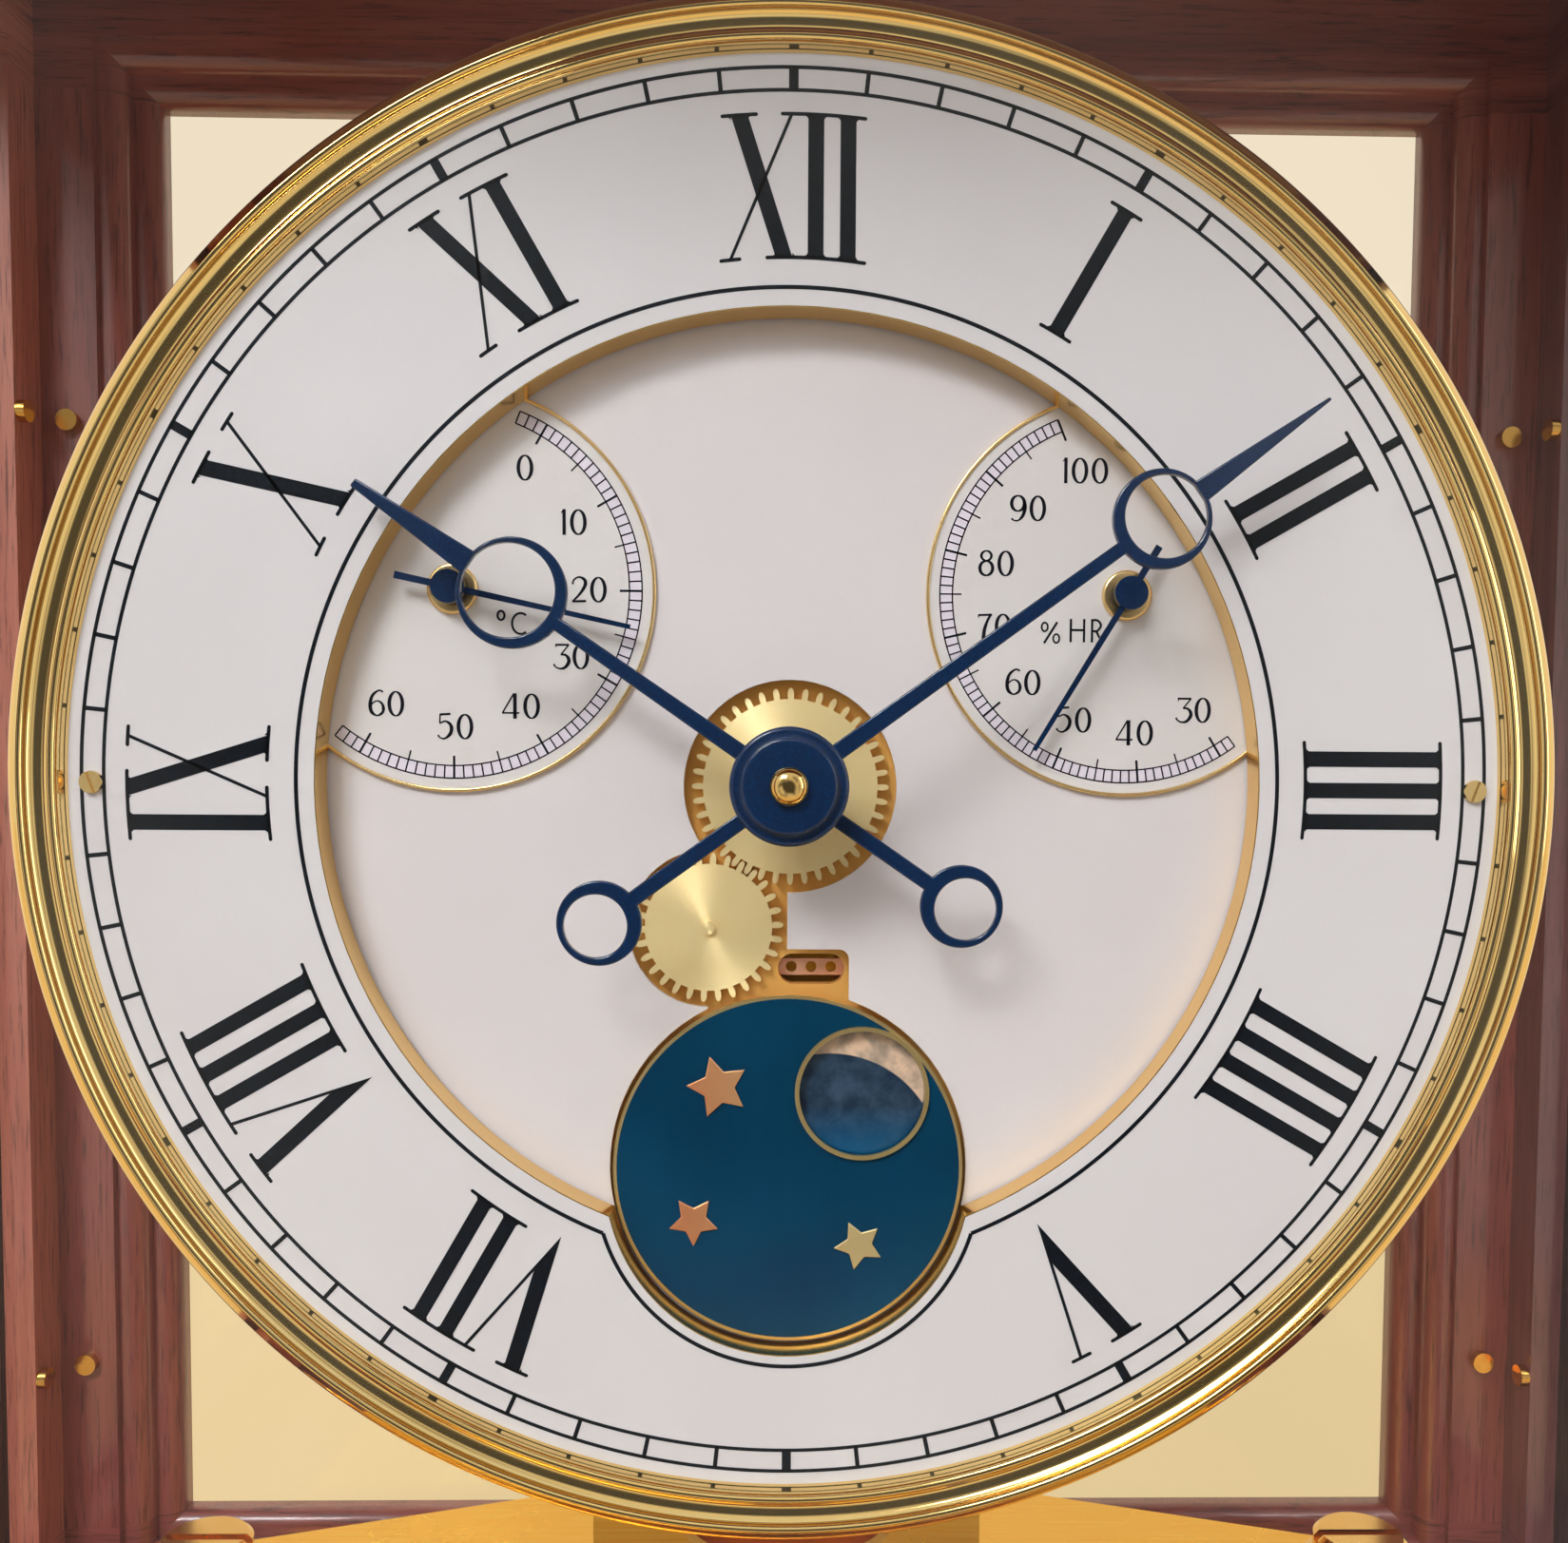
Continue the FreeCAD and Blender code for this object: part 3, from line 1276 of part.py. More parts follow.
def make_moon_train():
    """The wheels that show through the dial, and the train behind them that turns the moon disc."""
    driver = shaft("moon_driving_wheel", (0.0, 0.0))
    pad(driver, "Teeth", tooth_ring(SHOW_TEETH, s.show_module, detailed=True), lift(s.show_back), "wheel_thickness")
    cut_disc(driver, "Bore", "hour_pipe_radius + pivot_gap / 2", lift(s.show_back) - s.overrun,
             "wheel_thickness + overrun * 2")
    idler = shaft("idler_wheel", idler_at)
    idler_turn = meshing_turn(IDLER_TEETH, SHOW_TEETH, direction(idler_at, (0.0, 0.0)), 0.0)
    pad(idler, "Teeth", tooth_ring(IDLER_TEETH, s.show_module, idler_turn, detailed=True), lift(s.show_back),
        "wheel_thickness")
    pad(idler, "Leaves", tooth_ring(IDLER_LEAVES, s.moon_module), lift(s.hour_back), "wheel_thickness")
    pad(idler, "Arbor", [circle(0.0, 0.0, s.pivot_radius)], lift(s.hour_back + s.wheel_gap / 2),
        "hour_back + wheel_gap * 3 / 2 - show_front")
    month = shaft("month_wheel", month_at)
    month_turn = meshing_turn(MONTH_TEETH, IDLER_LEAVES, direction(month_at, idler_at), 0.0)
    pad(month, "Teeth", tooth_ring(MONTH_TEETH, s.moon_module, month_turn), lift(s.hour_back), "wheel_thickness")
    pad(month, "Leaves", tooth_ring(MONTH_LEAVES, s.moon_module), lift(s.minute_back),
        "wheel_thickness + wheel_gap")
    pad(month, "Arbor", [circle(0.0, 0.0, s.pivot_radius)], lift(s.front_plate_back),
        "front_plate_back - train_front")
    moon = shaft("moon_wheel", moon_at)
    moon_turn = meshing_turn(MOON_TEETH, MONTH_LEAVES, direction(moon_at, month_at), 0.0)
    pad(moon, "Teeth", tooth_ring(MOON_TEETH, s.moon_module, moon_turn), lift(s.minute_back), "wheel_thickness")
    rim = MOON_TEETH * s.moon_module / 2 - DEDENDUM_SHARE * s.moon_module * 3
    spoked(moon, "Spokes", 5, rim, s.moon_arbor_radius * 3, s.moon_arbor_radius * 2,
           lift(s.minute_back) - s.overrun, "wheel_thickness + overrun * 2")
    pad(moon, "Arbor", [circle(0.0, 0.0, s.moon_arbor_radius)], lift(s.front_plate_back),
        "front_plate_back - disc_back")


# Dial


def dial_plate(label, outer, front, formula, centre_holes):
    body = add_body(label, facing(depth=front))
    pad_disc(body, "Disc", outer, 0.0, formula)
    for number, edges in enumerate(centre_holes, start=1):
        cut(body, "Opening%d" % number, edges, -s.overrun, formula + " + overrun * 2")
    return body


def make_bezel():
    inner = s.bezel_inner
    lip = inner + s.bezel_lip
    bead = lip + s.bezel_bead
    crown = bead + s.bezel_groove
    outer = s.bezel_outer
    step = s.bezel_lip_rise - s.bezel_step
    groove = s.bezel_lip_rise
    fit = s.chapter_radius + s.bezel_fit
    turned("bezel", facing(), [
        (inner, 0.0),
        (lip, s.bezel_lip_rise),
        (lip, step),
        (bead, groove, (lip + bead) / 2, step + s.bezel_bead_rise),
        (crown, step),
        (outer, s.bezel_shoulder, (crown + outer * 2) / 3, step + s.bezel_crown_rise),
        (outer, lift(s.train_back)),
        (fit, lift(s.train_back)),
        (fit, 0.0),
    ])
    seat = add_body("dial_seat_ring", facing(depth=s.train_front))
    depth = "train_front - chapter_thickness"
    pad_disc(seat, "Ring", "chapter_radius", 0.0, depth)
    cut_disc(seat, "Opening", "seat_ring_inner", -s.overrun, depth + " + overrun * 2")
    holes = [circle(side * s.dial_screw_circle_radius, 0.0, s.dial_screw_shank + s.pivot_gap) for side in (-1, 1)]
    cut(seat, "ScrewHoles", holes, s.train_front - s.chapter_thickness - s.chapter_thickness * 2,
        "chapter_thickness * 2 + overrun")


def make_chapter_ring():
    ring = dial_plate("chapter_ring", "chapter_radius", s.chapter_thickness, "chapter_thickness", [
        [circle(0.0, 0.0, s.chapter_opening)],
        [circle(0.0, -s.moon_down, s.moon_opening)],
        [circle(side * s.dial_screw_circle_radius, 0.0, s.dial_screw_shank + s.pivot_gap) for side in (-1, 1)],
    ])
    rim = add_body("chapter_rim", facing(depth=s.chapter_thickness + s.rim_depth))
    pad_disc(rim, "Wall", "chapter_opening + rim_wall", 0.0, "rim_depth")
    pad(rim, "MoonWall", [circle(0.0, -s.moon_down, s.moon_opening + s.rim_wall)], 0.0, "rim_depth")
    cut_disc(rim, "Opening", "chapter_opening", -s.overrun, "rim_depth + overrun * 2")
    cut(rim, "MoonOpening", [circle(0.0, -s.moon_down, s.moon_opening)], -s.overrun, "rim_depth + overrun * 2")
    screws = []
    for side in (-1, 1):
        screw = add_body("dial_screw_%d" % (len(screws) + 1),
                         facing((side * s.dial_screw_circle_radius, 0.0), turn=side * 20.0), keep=False)
        pad_disc(screw, "Head", "dial_screw_radius", 0.0, "dial_screw_height")
        pad_disc(screw, "Shank", "dial_screw_shank", -2 * s.chapter_thickness, "chapter_thickness * 2")
        long = s.dial_screw_radius + s.overrun
        half = s.dial_screw_slot / 2
        cut(screw, "Slot", rectangle(-half, -long, half, long), s.dial_screw_height - s.dial_screw_slot,
            "dial_screw_slot + overrun")
        screws.append(screw)
    group("dial_screws", screws)
    return ring


def make_main_plate():
    centre = s.centre_recess_radius
    tab = [
        (-s.tab_left, -centre / 2),
        (-s.tab_left, -s.tab_top),
        (s.tab_right - s.tab_corner, -s.tab_top),
        (s.tab_right, -s.tab_top - s.tab_corner,
         s.tab_right - s.tab_corner * (1 - math.sqrt(0.5)), -s.tab_top - s.tab_corner * (1 - math.sqrt(0.5))),
        (s.tab_right, -s.moon_down + s.moon_opening / 2),
        (idler_at[0], -s.moon_down + s.moon_opening / 2),
        (idler_at[0], -centre / 2),
    ]
    arbor_holes = [circle(at[0], at[1], s.pointer_arbor_radius + s.show_gap)
                   for at in (thermometer_at, hygrometer_at)]
    dial_plate("main_dial_plate", "main_plate_radius", s.main_back, "main_plate_thickness", [
        [circle(0.0, 0.0, centre)],
        [circle(idler_at[0], idler_at[1], s.idler_recess_radius)],
        closed(tab),
        [circle(0.0, -s.moon_down, s.moon_opening)],
        arbor_holes,
    ])
    bores = [
        circle(0.0, 0.0, s.hour_pipe_radius + s.pivot_gap),
        circle(idler_at[0], idler_at[1], s.pivot_radius + s.pivot_gap),
        circle(month_at[0], month_at[1], s.pivot_radius + s.pivot_gap),
        circle(moon_at[0], moon_at[1], s.moon_arbor_radius + s.pivot_gap),
    ] + arbor_holes
    dial_plate("dial_train_plate", "train_plate_radius", s.train_back, "train_plate_thickness", [
        bores,
        slot_outline(s.slot_x, -s.slot_down, s.slot_length, s.slot_width),
    ])
    strip = add_body("three_hole_strip", facing((s.slot_x, -s.slot_down), s.train_back + s.strip_thickness))
    pad(strip, "Strip", rectangle(-s.strip_length / 2, -s.strip_width / 2, s.strip_length / 2, s.strip_width / 2),
        0.0, "strip_thickness")
    holes = [circle(step * s.strip_hole_pitch, 0.0, s.strip_hole_radius) for step in (-1, 0, 1)]
    cut(strip, "Holes", holes, -s.overrun, "strip_thickness + overrun * 2")
    spacers = []
    for number in range(4):
        spacers.append(rod("dial_spacer_%d" % (number + 1), "spacer_radius",
                           polar(45.0 + 90.0 * number, s.spacer_circle_radius), s.main_back, s.train_front))
    group("dial_spacers", spacers)


def make_subdials():
    trims = []
    sensors = []
    for label, at in (("thermometer", thermometer_at), ("hygrometer", hygrometer_at)):
        disc = add_body(label + "_dial", facing(at, s.dial_drop))
        pad_disc(disc, "Disc", "subdial_radius", 0.0, "subdial_thickness")
        cut_disc(disc, "Bore", "pointer_arbor_radius + pivot_gap", -s.overrun, "subdial_thickness + overrun * 2")
        rim = add_body(label + "_rim", facing(at, s.dial_drop), keep=False)
        pad_disc(rim, "Ring", "subdial_radius + subdial_rim_width", 0.0, "subdial_rim_height")
        cut_disc(rim, "Opening", "subdial_radius", -s.overrun, "subdial_rim_height + overrun * 2")
        trims.append(rim)
        bush = add_body(label + "_bush", facing(at, s.dial_drop - s.subdial_thickness), keep=False)
        pad_disc(bush, "Bush", "bush_radius", 0.0, "bush_height")
        cut_disc(bush, "Bore", "pointer_arbor_radius + pivot_gap", -s.overrun, "bush_height + overrun * 2")
        trims.append(bush)
        wall = s.sensor_wall
        bore = s.pointer_arbor_radius + s.show_gap
        sensors.append(turned(label + "_capsule", facing(at, s.train_back + s.sensor_depth), [
            (bore, s.sensor_depth),
            (s.sensor_radius, s.sensor_depth),
            (s.sensor_radius, 0.0),
            (0.0, 0.0),
            (0.0, wall),
            (s.sensor_radius - wall, wall),
            (s.sensor_radius - wall, s.sensor_depth - wall),
            (bore, s.sensor_depth - wall),
        ], keep=False))
    group("subdial_trims", trims)
    group("sensor_capsules", sensors)
    for label, at, turn in (("thermometer_pointer", thermometer_at, THERMOMETER_ANGLE),
                            ("hygrometer_pointer", hygrometer_at, HYGROMETER_ANGLE)):
        pointer = add_body(label, facing(at, s.pointer_depth + s.pointer_thickness, turn))
        half = s.pointer_width / 2
        tip = s.pointer_tip_width / 2
        pad(pointer, "Needle", closed([
            (-half, -s.pointer_tail), (half, -s.pointer_tail), (tip, s.pointer_length), (-tip, s.pointer_length),
        ]), 0.0, "pointer_thickness")
        pad_disc(pointer, "Hub", "pointer_hub_radius", 0.0, "pointer_thickness * 2")
        reach = s.train_back + s.sensor_depth - s.sensor_wall * 2 - s.pointer_depth
        pad(pointer, "Arbor", [circle(0.0, 0.0, s.pointer_arbor_radius)], -reach,
            "train_back + sensor_depth - sensor_wall * 2 - pointer_depth")


# Hands


def clock_hand(label, depth, turn, hub, ring_centre, ring_radius, hole_radius, hole_shift, tip, tail_centre, bore):
    """A hand with a hub, a ring with its hole set off towards the tip, a point and a ringed tail."""
    body = add_body(label, facing(depth=lift(depth), turn=turn))
    half = s.hand_arm_width / 2
    pad(body, "Arm", rectangle(-half, -tail_centre + s.tail_ring_radius - half, half,
                               ring_centre - ring_radius + half), 0.0, "hand_thickness")
    root = ring_centre + ring_radius - half / 2
    neck = s.tip_root_width / 2
    point = s.tip_width / 2
    pad(body, "Point", closed([(-neck, root), (neck, root), (point, tip), (-point, tip)]), 0.0, "hand_thickness")
    pad(body, "Ring", [circle(0.0, ring_centre, ring_radius)], 0.0, "hand_thickness")
    pad(body, "TailRing", [circle(0.0, -tail_centre, s.tail_ring_radius)], 0.0, "hand_thickness")
    pad(body, "Hub", [circle(0.0, 0.0, hub)], 0.0, "hand_thickness")
    cut(body, "Hole", [circle(0.0, ring_centre + hole_shift, hole_radius)], -s.overrun,
        "hand_thickness + overrun * 2")
    cut(body, "TailHole", [circle(0.0, -tail_centre, s.tail_hole_radius)], -s.overrun,
        "hand_thickness + overrun * 2")
    if label == "minute_hand":
        rise = s.hand_thickness + s.minute_collar_rise
        pad_disc(body, "Collar", "minute_hub_radius", 0.0, "hand_thickness + minute_collar_rise")
        break_edges(body, lambda place: place.z > rise - s.pivot_gap, "minute_collar_rise / 2")
        pad_disc(body, "Cap", "minute_cap_radius", rise - s.minute_collar_rise / 2,
                 "minute_cap_rise + minute_collar_rise / 2")
    cut(body, "Bore", [circle(0.0, 0.0, bore)], -s.overrun,
        "hand_thickness + minute_collar_rise + minute_cap_rise + overrun * 2")
    return body


def make_hands():
    clock_hand("hour_hand", s.hour_hand_depth - s.hand_thickness, HOUR_ANGLE, s.hour_hub_radius,
               s.hour_ring_centre, s.hour_ring_radius, s.hour_hole_radius, s.hour_hole_shift, s.hour_tip,
               s.hour_tail_centre, s.hour_pipe_radius + s.pivot_gap / 2)
    clock_hand("minute_hand", s.minute_hand_depth, MINUTE_ANGLE, s.minute_hub_radius,
               s.minute_ring_centre, s.minute_ring_radius, s.minute_hole_radius, s.minute_hole_shift,
               s.minute_tip, s.minute_tail_centre, s.cannon_radius + s.pivot_gap / 2)
    nut = add_body("hand_nut", facing(depth=lift(s.hands_front), turn=MINUTE_ANGLE))
    pad_disc(nut, "Nut", "nut_radius", 0.0, "nut_height")
    break_edges(nut, lambda place: place.z > s.nut_height - s.pivot_gap, "nut_slot")
    half = s.nut_slot / 2
    long = s.nut_radius + s.overrun
    cut(nut, "Slot", rectangle(-long, -half, long, half), s.nut_height - s.nut_slot, "nut_slot + overrun")


# Moon


def star_path(at, radius, turn):
    path = []
    for corner in range(10):
        reach = radius if corner % 2 == 0 else radius * STAR_WAIST_SHARE
        x, y = polar(turn + 36.0 * corner, reach)
        path.append((at[0] + x, at[1] + y))
    return path


def on_disc(angle, radius):
    turn = math.radians(angle)
    return (radius * math.cos(turn), radius * math.sin(turn))


def make_moon():
    window = on_disc(WINDOW_ANGLE, s.moon_window_shift)
    disc = add_body("moon_disc", facing(moon_at, s.disc_back))
    pad_disc(disc, "Disc", "moon_disc_radius", 0.0, "moon_disc_thickness")
    cut(disc, "Window", [circle(window[0], window[1], s.moon_window_radius)], -s.overrun,
        "moon_disc_thickness + overrun * 2")
    edge = add_body("moon_edge_ring", facing(moon_at, s.disc_back), keep=False)
    pad_disc(edge, "Ring", "moon_disc_radius + moon_edge_width", 0.0, "moon_disc_thickness")
    cut_disc(edge, "Opening", "moon_disc_radius", -s.overrun, "moon_disc_thickness + overrun * 2")
    ring = add_body("moon_window_frame", facing(moon_at, s.moon_disc_depth), keep=False)
    pad(ring, "Ring", [circle(window[0], window[1], s.moon_window_radius + s.moon_window_ring)], 0.0,
        "moon_ring_height")
    cut(ring, "Opening", [circle(window[0], window[1], s.moon_window_radius)], -s.overrun,
        "moon_ring_height + overrun * 2")
    group("moon_rings", [edge, ring])
    stars = []
    radii = (s.large_star_radius, s.small_star_radius, s.small_star_radius)
    for angle, turn, radius in zip(STAR_ANGLES, STAR_TURNS, radii):
        star = add_body("star_%d" % (len(stars) + 1), facing(moon_at, s.moon_disc_depth), keep=False)
        pad(star, "Star", closed(star_path(on_disc(angle, s.star_circle_radius), radius, turn)), 0.0, "star_height")
        stars.append(star)
    group("moon_stars", stars)
    plate = add_body("moon_phase_plate", facing(moon_at, s.dial_drop + s.phase_plate_thickness))
    pad_disc(plate, "Disc", "phase_plate_radius", 0.0, "phase_plate_thickness")
    drop = s.train_front - s.dial_drop - s.phase_plate_thickness
    leg_places = [polar(60.0 + 120.0 * number, s.phase_leg_circle_radius) for number in range(3)]
    pad(plate, "Legs", [circle(x, y, s.phase_leg_radius) for x, y in leg_places], -drop,
        "train_front - dial_drop")
    cut_disc(plate, "Bore", "phase_plate_bore", -s.overrun, "phase_plate_thickness + overrun * 2")


make_base_and_top()
make_case_walls()
make_door_hardware()
make_floor()
make_platform()
make_balance()
make_plates()
make_bellows()
make_going_train()
make_motion_work()
make_moon_train()
make_bezel()
make_chapter_ring()
make_main_plate()
make_subdials()
make_hands()
make_moon()

doc.recompute()
for item in doc.Objects:
    if "Invalid" in item.State or "Error" in item.State:
        raise RuntimeError("%s failed: %s" % (item.Label, item.State))
for node in nodes:
    if node.Shape.isNull() or not node.Shape.isValid():
        raise RuntimeError("%s has no valid shape" % node.Label)

os.makedirs("parts", exist_ok=True)
for node in nodes:
    node.Shape.exportStep("parts/%s.step" % node.Label)
print(len(nodes), "sub-parts written")
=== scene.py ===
"""The finished looks of a glazed moon phase desk clock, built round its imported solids.

Sizes on the dial are millimetres from its centre: to the right, upwards, and out towards the
viewer from the face of the chapter ring.  Angles run clockwise from XII.
"""

import math

import bmesh
import bpy
from mathutils import Matrix, Vector


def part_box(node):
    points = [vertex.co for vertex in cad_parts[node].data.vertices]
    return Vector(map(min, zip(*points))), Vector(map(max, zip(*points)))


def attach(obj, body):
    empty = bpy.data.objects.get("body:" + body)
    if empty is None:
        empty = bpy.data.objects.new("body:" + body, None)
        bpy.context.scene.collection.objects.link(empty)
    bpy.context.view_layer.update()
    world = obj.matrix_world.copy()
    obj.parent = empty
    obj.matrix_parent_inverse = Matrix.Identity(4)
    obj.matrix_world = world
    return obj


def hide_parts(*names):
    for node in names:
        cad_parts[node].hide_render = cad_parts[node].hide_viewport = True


bl_info = {
    "name": "Moon Phase Desk Clock",
    "version": (1, 0, 0),
    "blender": (4, 5, 0),
    "location": "3D View > Sidebar > Desk Clock",
    "description": "Dresses the solids of a moon phase desk clock with prints, polish and wood",
    "category": "Object",
}

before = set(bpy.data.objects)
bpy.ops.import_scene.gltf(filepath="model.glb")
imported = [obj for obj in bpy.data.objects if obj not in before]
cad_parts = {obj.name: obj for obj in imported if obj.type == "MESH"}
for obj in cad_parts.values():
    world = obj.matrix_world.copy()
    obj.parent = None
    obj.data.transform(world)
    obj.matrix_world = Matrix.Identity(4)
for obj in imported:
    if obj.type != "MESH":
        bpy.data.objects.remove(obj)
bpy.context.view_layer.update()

MM = 0.001
FULL_TURN = 360.0
CENTRE = (0.0, 0.0)
RING_LOW, RING_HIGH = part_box("chapter_ring")
DIAL_Y = RING_LOW.y
AXIS_Z = (RING_LOW.z + RING_HIGH.z) / 2
SMALL_DIAL_OUT = (DIAL_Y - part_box("thermometer_dial")[0].y) / MM
SMALL_DIALS = {"thermometer": (-29.4, 16.95), "hygrometer": (29.4, 16.95)}
MOON_LOW, MOON_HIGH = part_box("moon_disc")
MOON_UP = ((MOON_LOW.z + MOON_HIGH.z) / 2 - AXIS_Z) / MM
MOON_OUT = (DIAL_Y - MOON_LOW.y) / MM
INK_HEIGHT = 0.03
# More marks than any scale has, for scales that leave none out
NEVER = 1000

# The edge of the night sky over the moon picture
HORIZON_X, HORIZON_UP, HORIZON_RADIUS = 3.7, MOON_UP + 0.3, 9.9
HORIZON_BLUR = 0.05

# How far a rail or stile of the case's frames reaches in from its edge
RAIL_WIDTH = 17.0
DEEP_RED = ("#5A2A2D", "#824A4B")


def spot(x, up, out):
    """A point on the dial, in metres in the frame."""
    return Vector((x * MM, DIAL_Y - out * MM, AXIS_Z + up * MM))


def upright(x, y, z):
    """A point in the frame from millimetres along its own axes."""
    return Vector((x * MM, y * MM, z * MM))


# Colours and nodes


def linear(code):
    """An sRGB hex colour as the linear colour that shaders take."""
    channels = [int(code[i : i + 2], 16) / 255 for i in (1, 3, 5)]
    return tuple(c / 12.92 if c <= 0.04045 else ((c + 0.055) / 1.055) ** 2.4 for c in channels) + (1.0,)


def per_mm(size):
    """The scale, in metres, of a pattern whose grains have this size in millimetres."""
    return 1.0 / (size * MM)


def in_use(sockets, name=None):
    """The first socket that the node's settings leave in use, or the first one of a name."""
    return next(socket for socket in sockets if socket.enabled and name in (None, socket.name))


class Nodes:
    """A node tree under way."""

    def __init__(self, tree):
        self.tree = tree
        tree.nodes.clear()

    def add(self, kind, inputs=None, **settings):
        """Adds a node; an input takes a value, a colour code, an output, or a node's first output."""
        node = self.tree.nodes.new(kind)
        for name, value in settings.items():
            setattr(node, name, value)
        for key, value in (inputs or {}).items():
            socket = node.inputs[key] if isinstance(key, int) else in_use(node.inputs, key)
            if isinstance(value, bpy.types.Node):
                value = in_use(value.outputs)
            if isinstance(value, bpy.types.NodeSocket):
                self.tree.links.new(value, socket)
            else:
                socket.default_value = linear(value) if isinstance(value, str) else value
        return node

    def seen_directly(self):
        """One for rays from the camera, in reflections and through glass, none for light on the object."""
        path = self.add("ShaderNodeLightPath").outputs
        seen = self.add("ShaderNodeMath", {
            0: path["Is Camera Ray"], 1: path["Is Glossy Ray"]}, operation="MAXIMUM")
        return self.add("ShaderNodeMath", {0: seen, 1: path["Is Transmission Ray"]}, operation="MAXIMUM")


class Finish(Nodes):
    """A material under way; its patterns lie over the piece's own coordinates."""

    def __init__(self, name):
        self.material = bpy.data.materials.new(name)
        self.material.use_nodes = True
        super().__init__(self.material.node_tree)
        self.place = self.add("ShaderNodeTexCoord").outputs["Object"]
        self.parts = self.add("ShaderNodeSeparateXYZ", {0: self.place}).outputs

    def stretched(self, scale, origin=(0.0, 0.0, 0.0)):
        """Coordinates measured from an origin and scaled along each axis."""
        local = self.add("ShaderNodeVectorMath", {0: self.place, 1: origin}, operation="SUBTRACT")
        return self.add("ShaderNodeMapping", {"Vector": local, "Scale": scale})

    def closed(self, shader):
        """The finished material."""
        self.add("ShaderNodeOutputMaterial", {"Surface": shader})
        return self.material

    def surface(self, inputs):
        return self.closed(self.add("ShaderNodeBsdfPrincipled", inputs))

    def glowing(self, colour, unseen, seen, roughness):
        """A matt sheet that shows part of its written colour as light of its own."""
        matt = self.add("ShaderNodeBsdfDiffuse", {"Color": colour, "Roughness": roughness})
        lit = self.add("ShaderNodeEmission", {"Color": colour, "Strength": 1.0})
        share = self.add("ShaderNodeMapRange", {
            "Value": self.seen_directly(), "To Min": unseen, "To Max": seen})
        return self.closed(self.add("ShaderNodeMixShader", {0: share, 1: matt, 2: lit}))


# Metals


def polished_gilding(name, tone, warm, rough, relief=0.3):
    """Gold plate over polished brass: soft buffing lines let it shine without a mirror's coldness."""
    finish = Finish(name)
    cloud = finish.add("ShaderNodeTexNoise", {
        "Vector": finish.place, "Scale": per_mm(9.0), "Detail": 3.0})
    fine = finish.add("ShaderNodeTexNoise", {
        "Vector": finish.place, "Scale": per_mm(0.35), "Detail": 4.0})
    gloss = finish.add("ShaderNodeMath", {0: fine, 1: cloud}, operation="MULTIPLY")
    return finish.surface({
        "Base Color": finish.add("ShaderNodeMix", {
            "Factor": cloud, "A": tone, "B": warm}, data_type="RGBA"),
        "Metallic": 1.0,
        "Roughness": finish.add("ShaderNodeMapRange", {
            "Value": gloss, "To Min": rough * 0.7, "To Max": rough * 1.6}),
        "Normal": finish.add("ShaderNodeBump", {
            "Height": fine, "Distance": 0.002 * MM, "Strength": relief}),
    })


def brushed_gilding():
    """Gilded plate brushed along its length: fine streaks spread the shine across them."""
    finish = Finish("brushed_gilding")
    streaks = finish.add("ShaderNodeTexNoise", {
        "Vector": finish.stretched((0.02, 1.0, 1.0)), "Scale": per_mm(0.25), "Detail": 4.0,
        "Roughness": 0.6})
    share = finish.add("ShaderNodeMapRange", {"Value": streaks, "From Min": 0.3, "From Max": 0.7})
    cloud = finish.add("ShaderNodeTexNoise", {
        "Vector": finish.place, "Scale": per_mm(14.0), "Detail": 3.0})
    return finish.surface({
        "Base Color": finish.add("ShaderNodeMix", {
            "Factor": share, "A": "#EFB038", "B": "#F6C65C"}, data_type="RGBA"),
        "Metallic": 1.0,
        "Roughness": finish.add("ShaderNodeMapRange", {
            "Value": cloud, "To Min": 0.22, "To Max": 0.34}),
        "Normal": finish.add("ShaderNodeBump", {
            "Height": streaks, "Distance": 0.006 * MM, "Strength": 0.4}),
    })


def turned_brass(name, centre_x, centre_up):
    """Pale brass faced on a lathe: rings too fine to see throw a bow-tie of light across the wheel."""
    finish = Finish(name)
    rings = finish.add("ShaderNodeTexWave", {
        "Vector": finish.stretched((1.0, 0.0, 1.0), spot(centre_x, centre_up, 0.0)),
        "Scale": per_mm(0.35),
        "Distortion": 0.0,
    }, wave_type="RINGS", rings_direction="SPHERICAL")
    cloud = finish.add("ShaderNodeTexNoise", {
        "Vector": finish.place, "Scale": per_mm(2.5), "Detail": 3.0})
    return finish.surface({
        "Base Color": finish.add("ShaderNodeMix", {
            "Factor": cloud, "A": "#FADA98", "B": "#FFEAB2"}, data_type="RGBA"),
        "Metallic": 0.5,
        "Roughness": finish.add("ShaderNodeMapRange", {
            "Value": rings.outputs["Fac"], "To Min": 0.36, "To Max": 0.42}),
        "Anisotropic": 0.85,
        "Anisotropic Rotation": 0.25,
        "Tangent": finish.add("ShaderNodeTangent", direction_type="RADIAL", axis="Y"),
    })


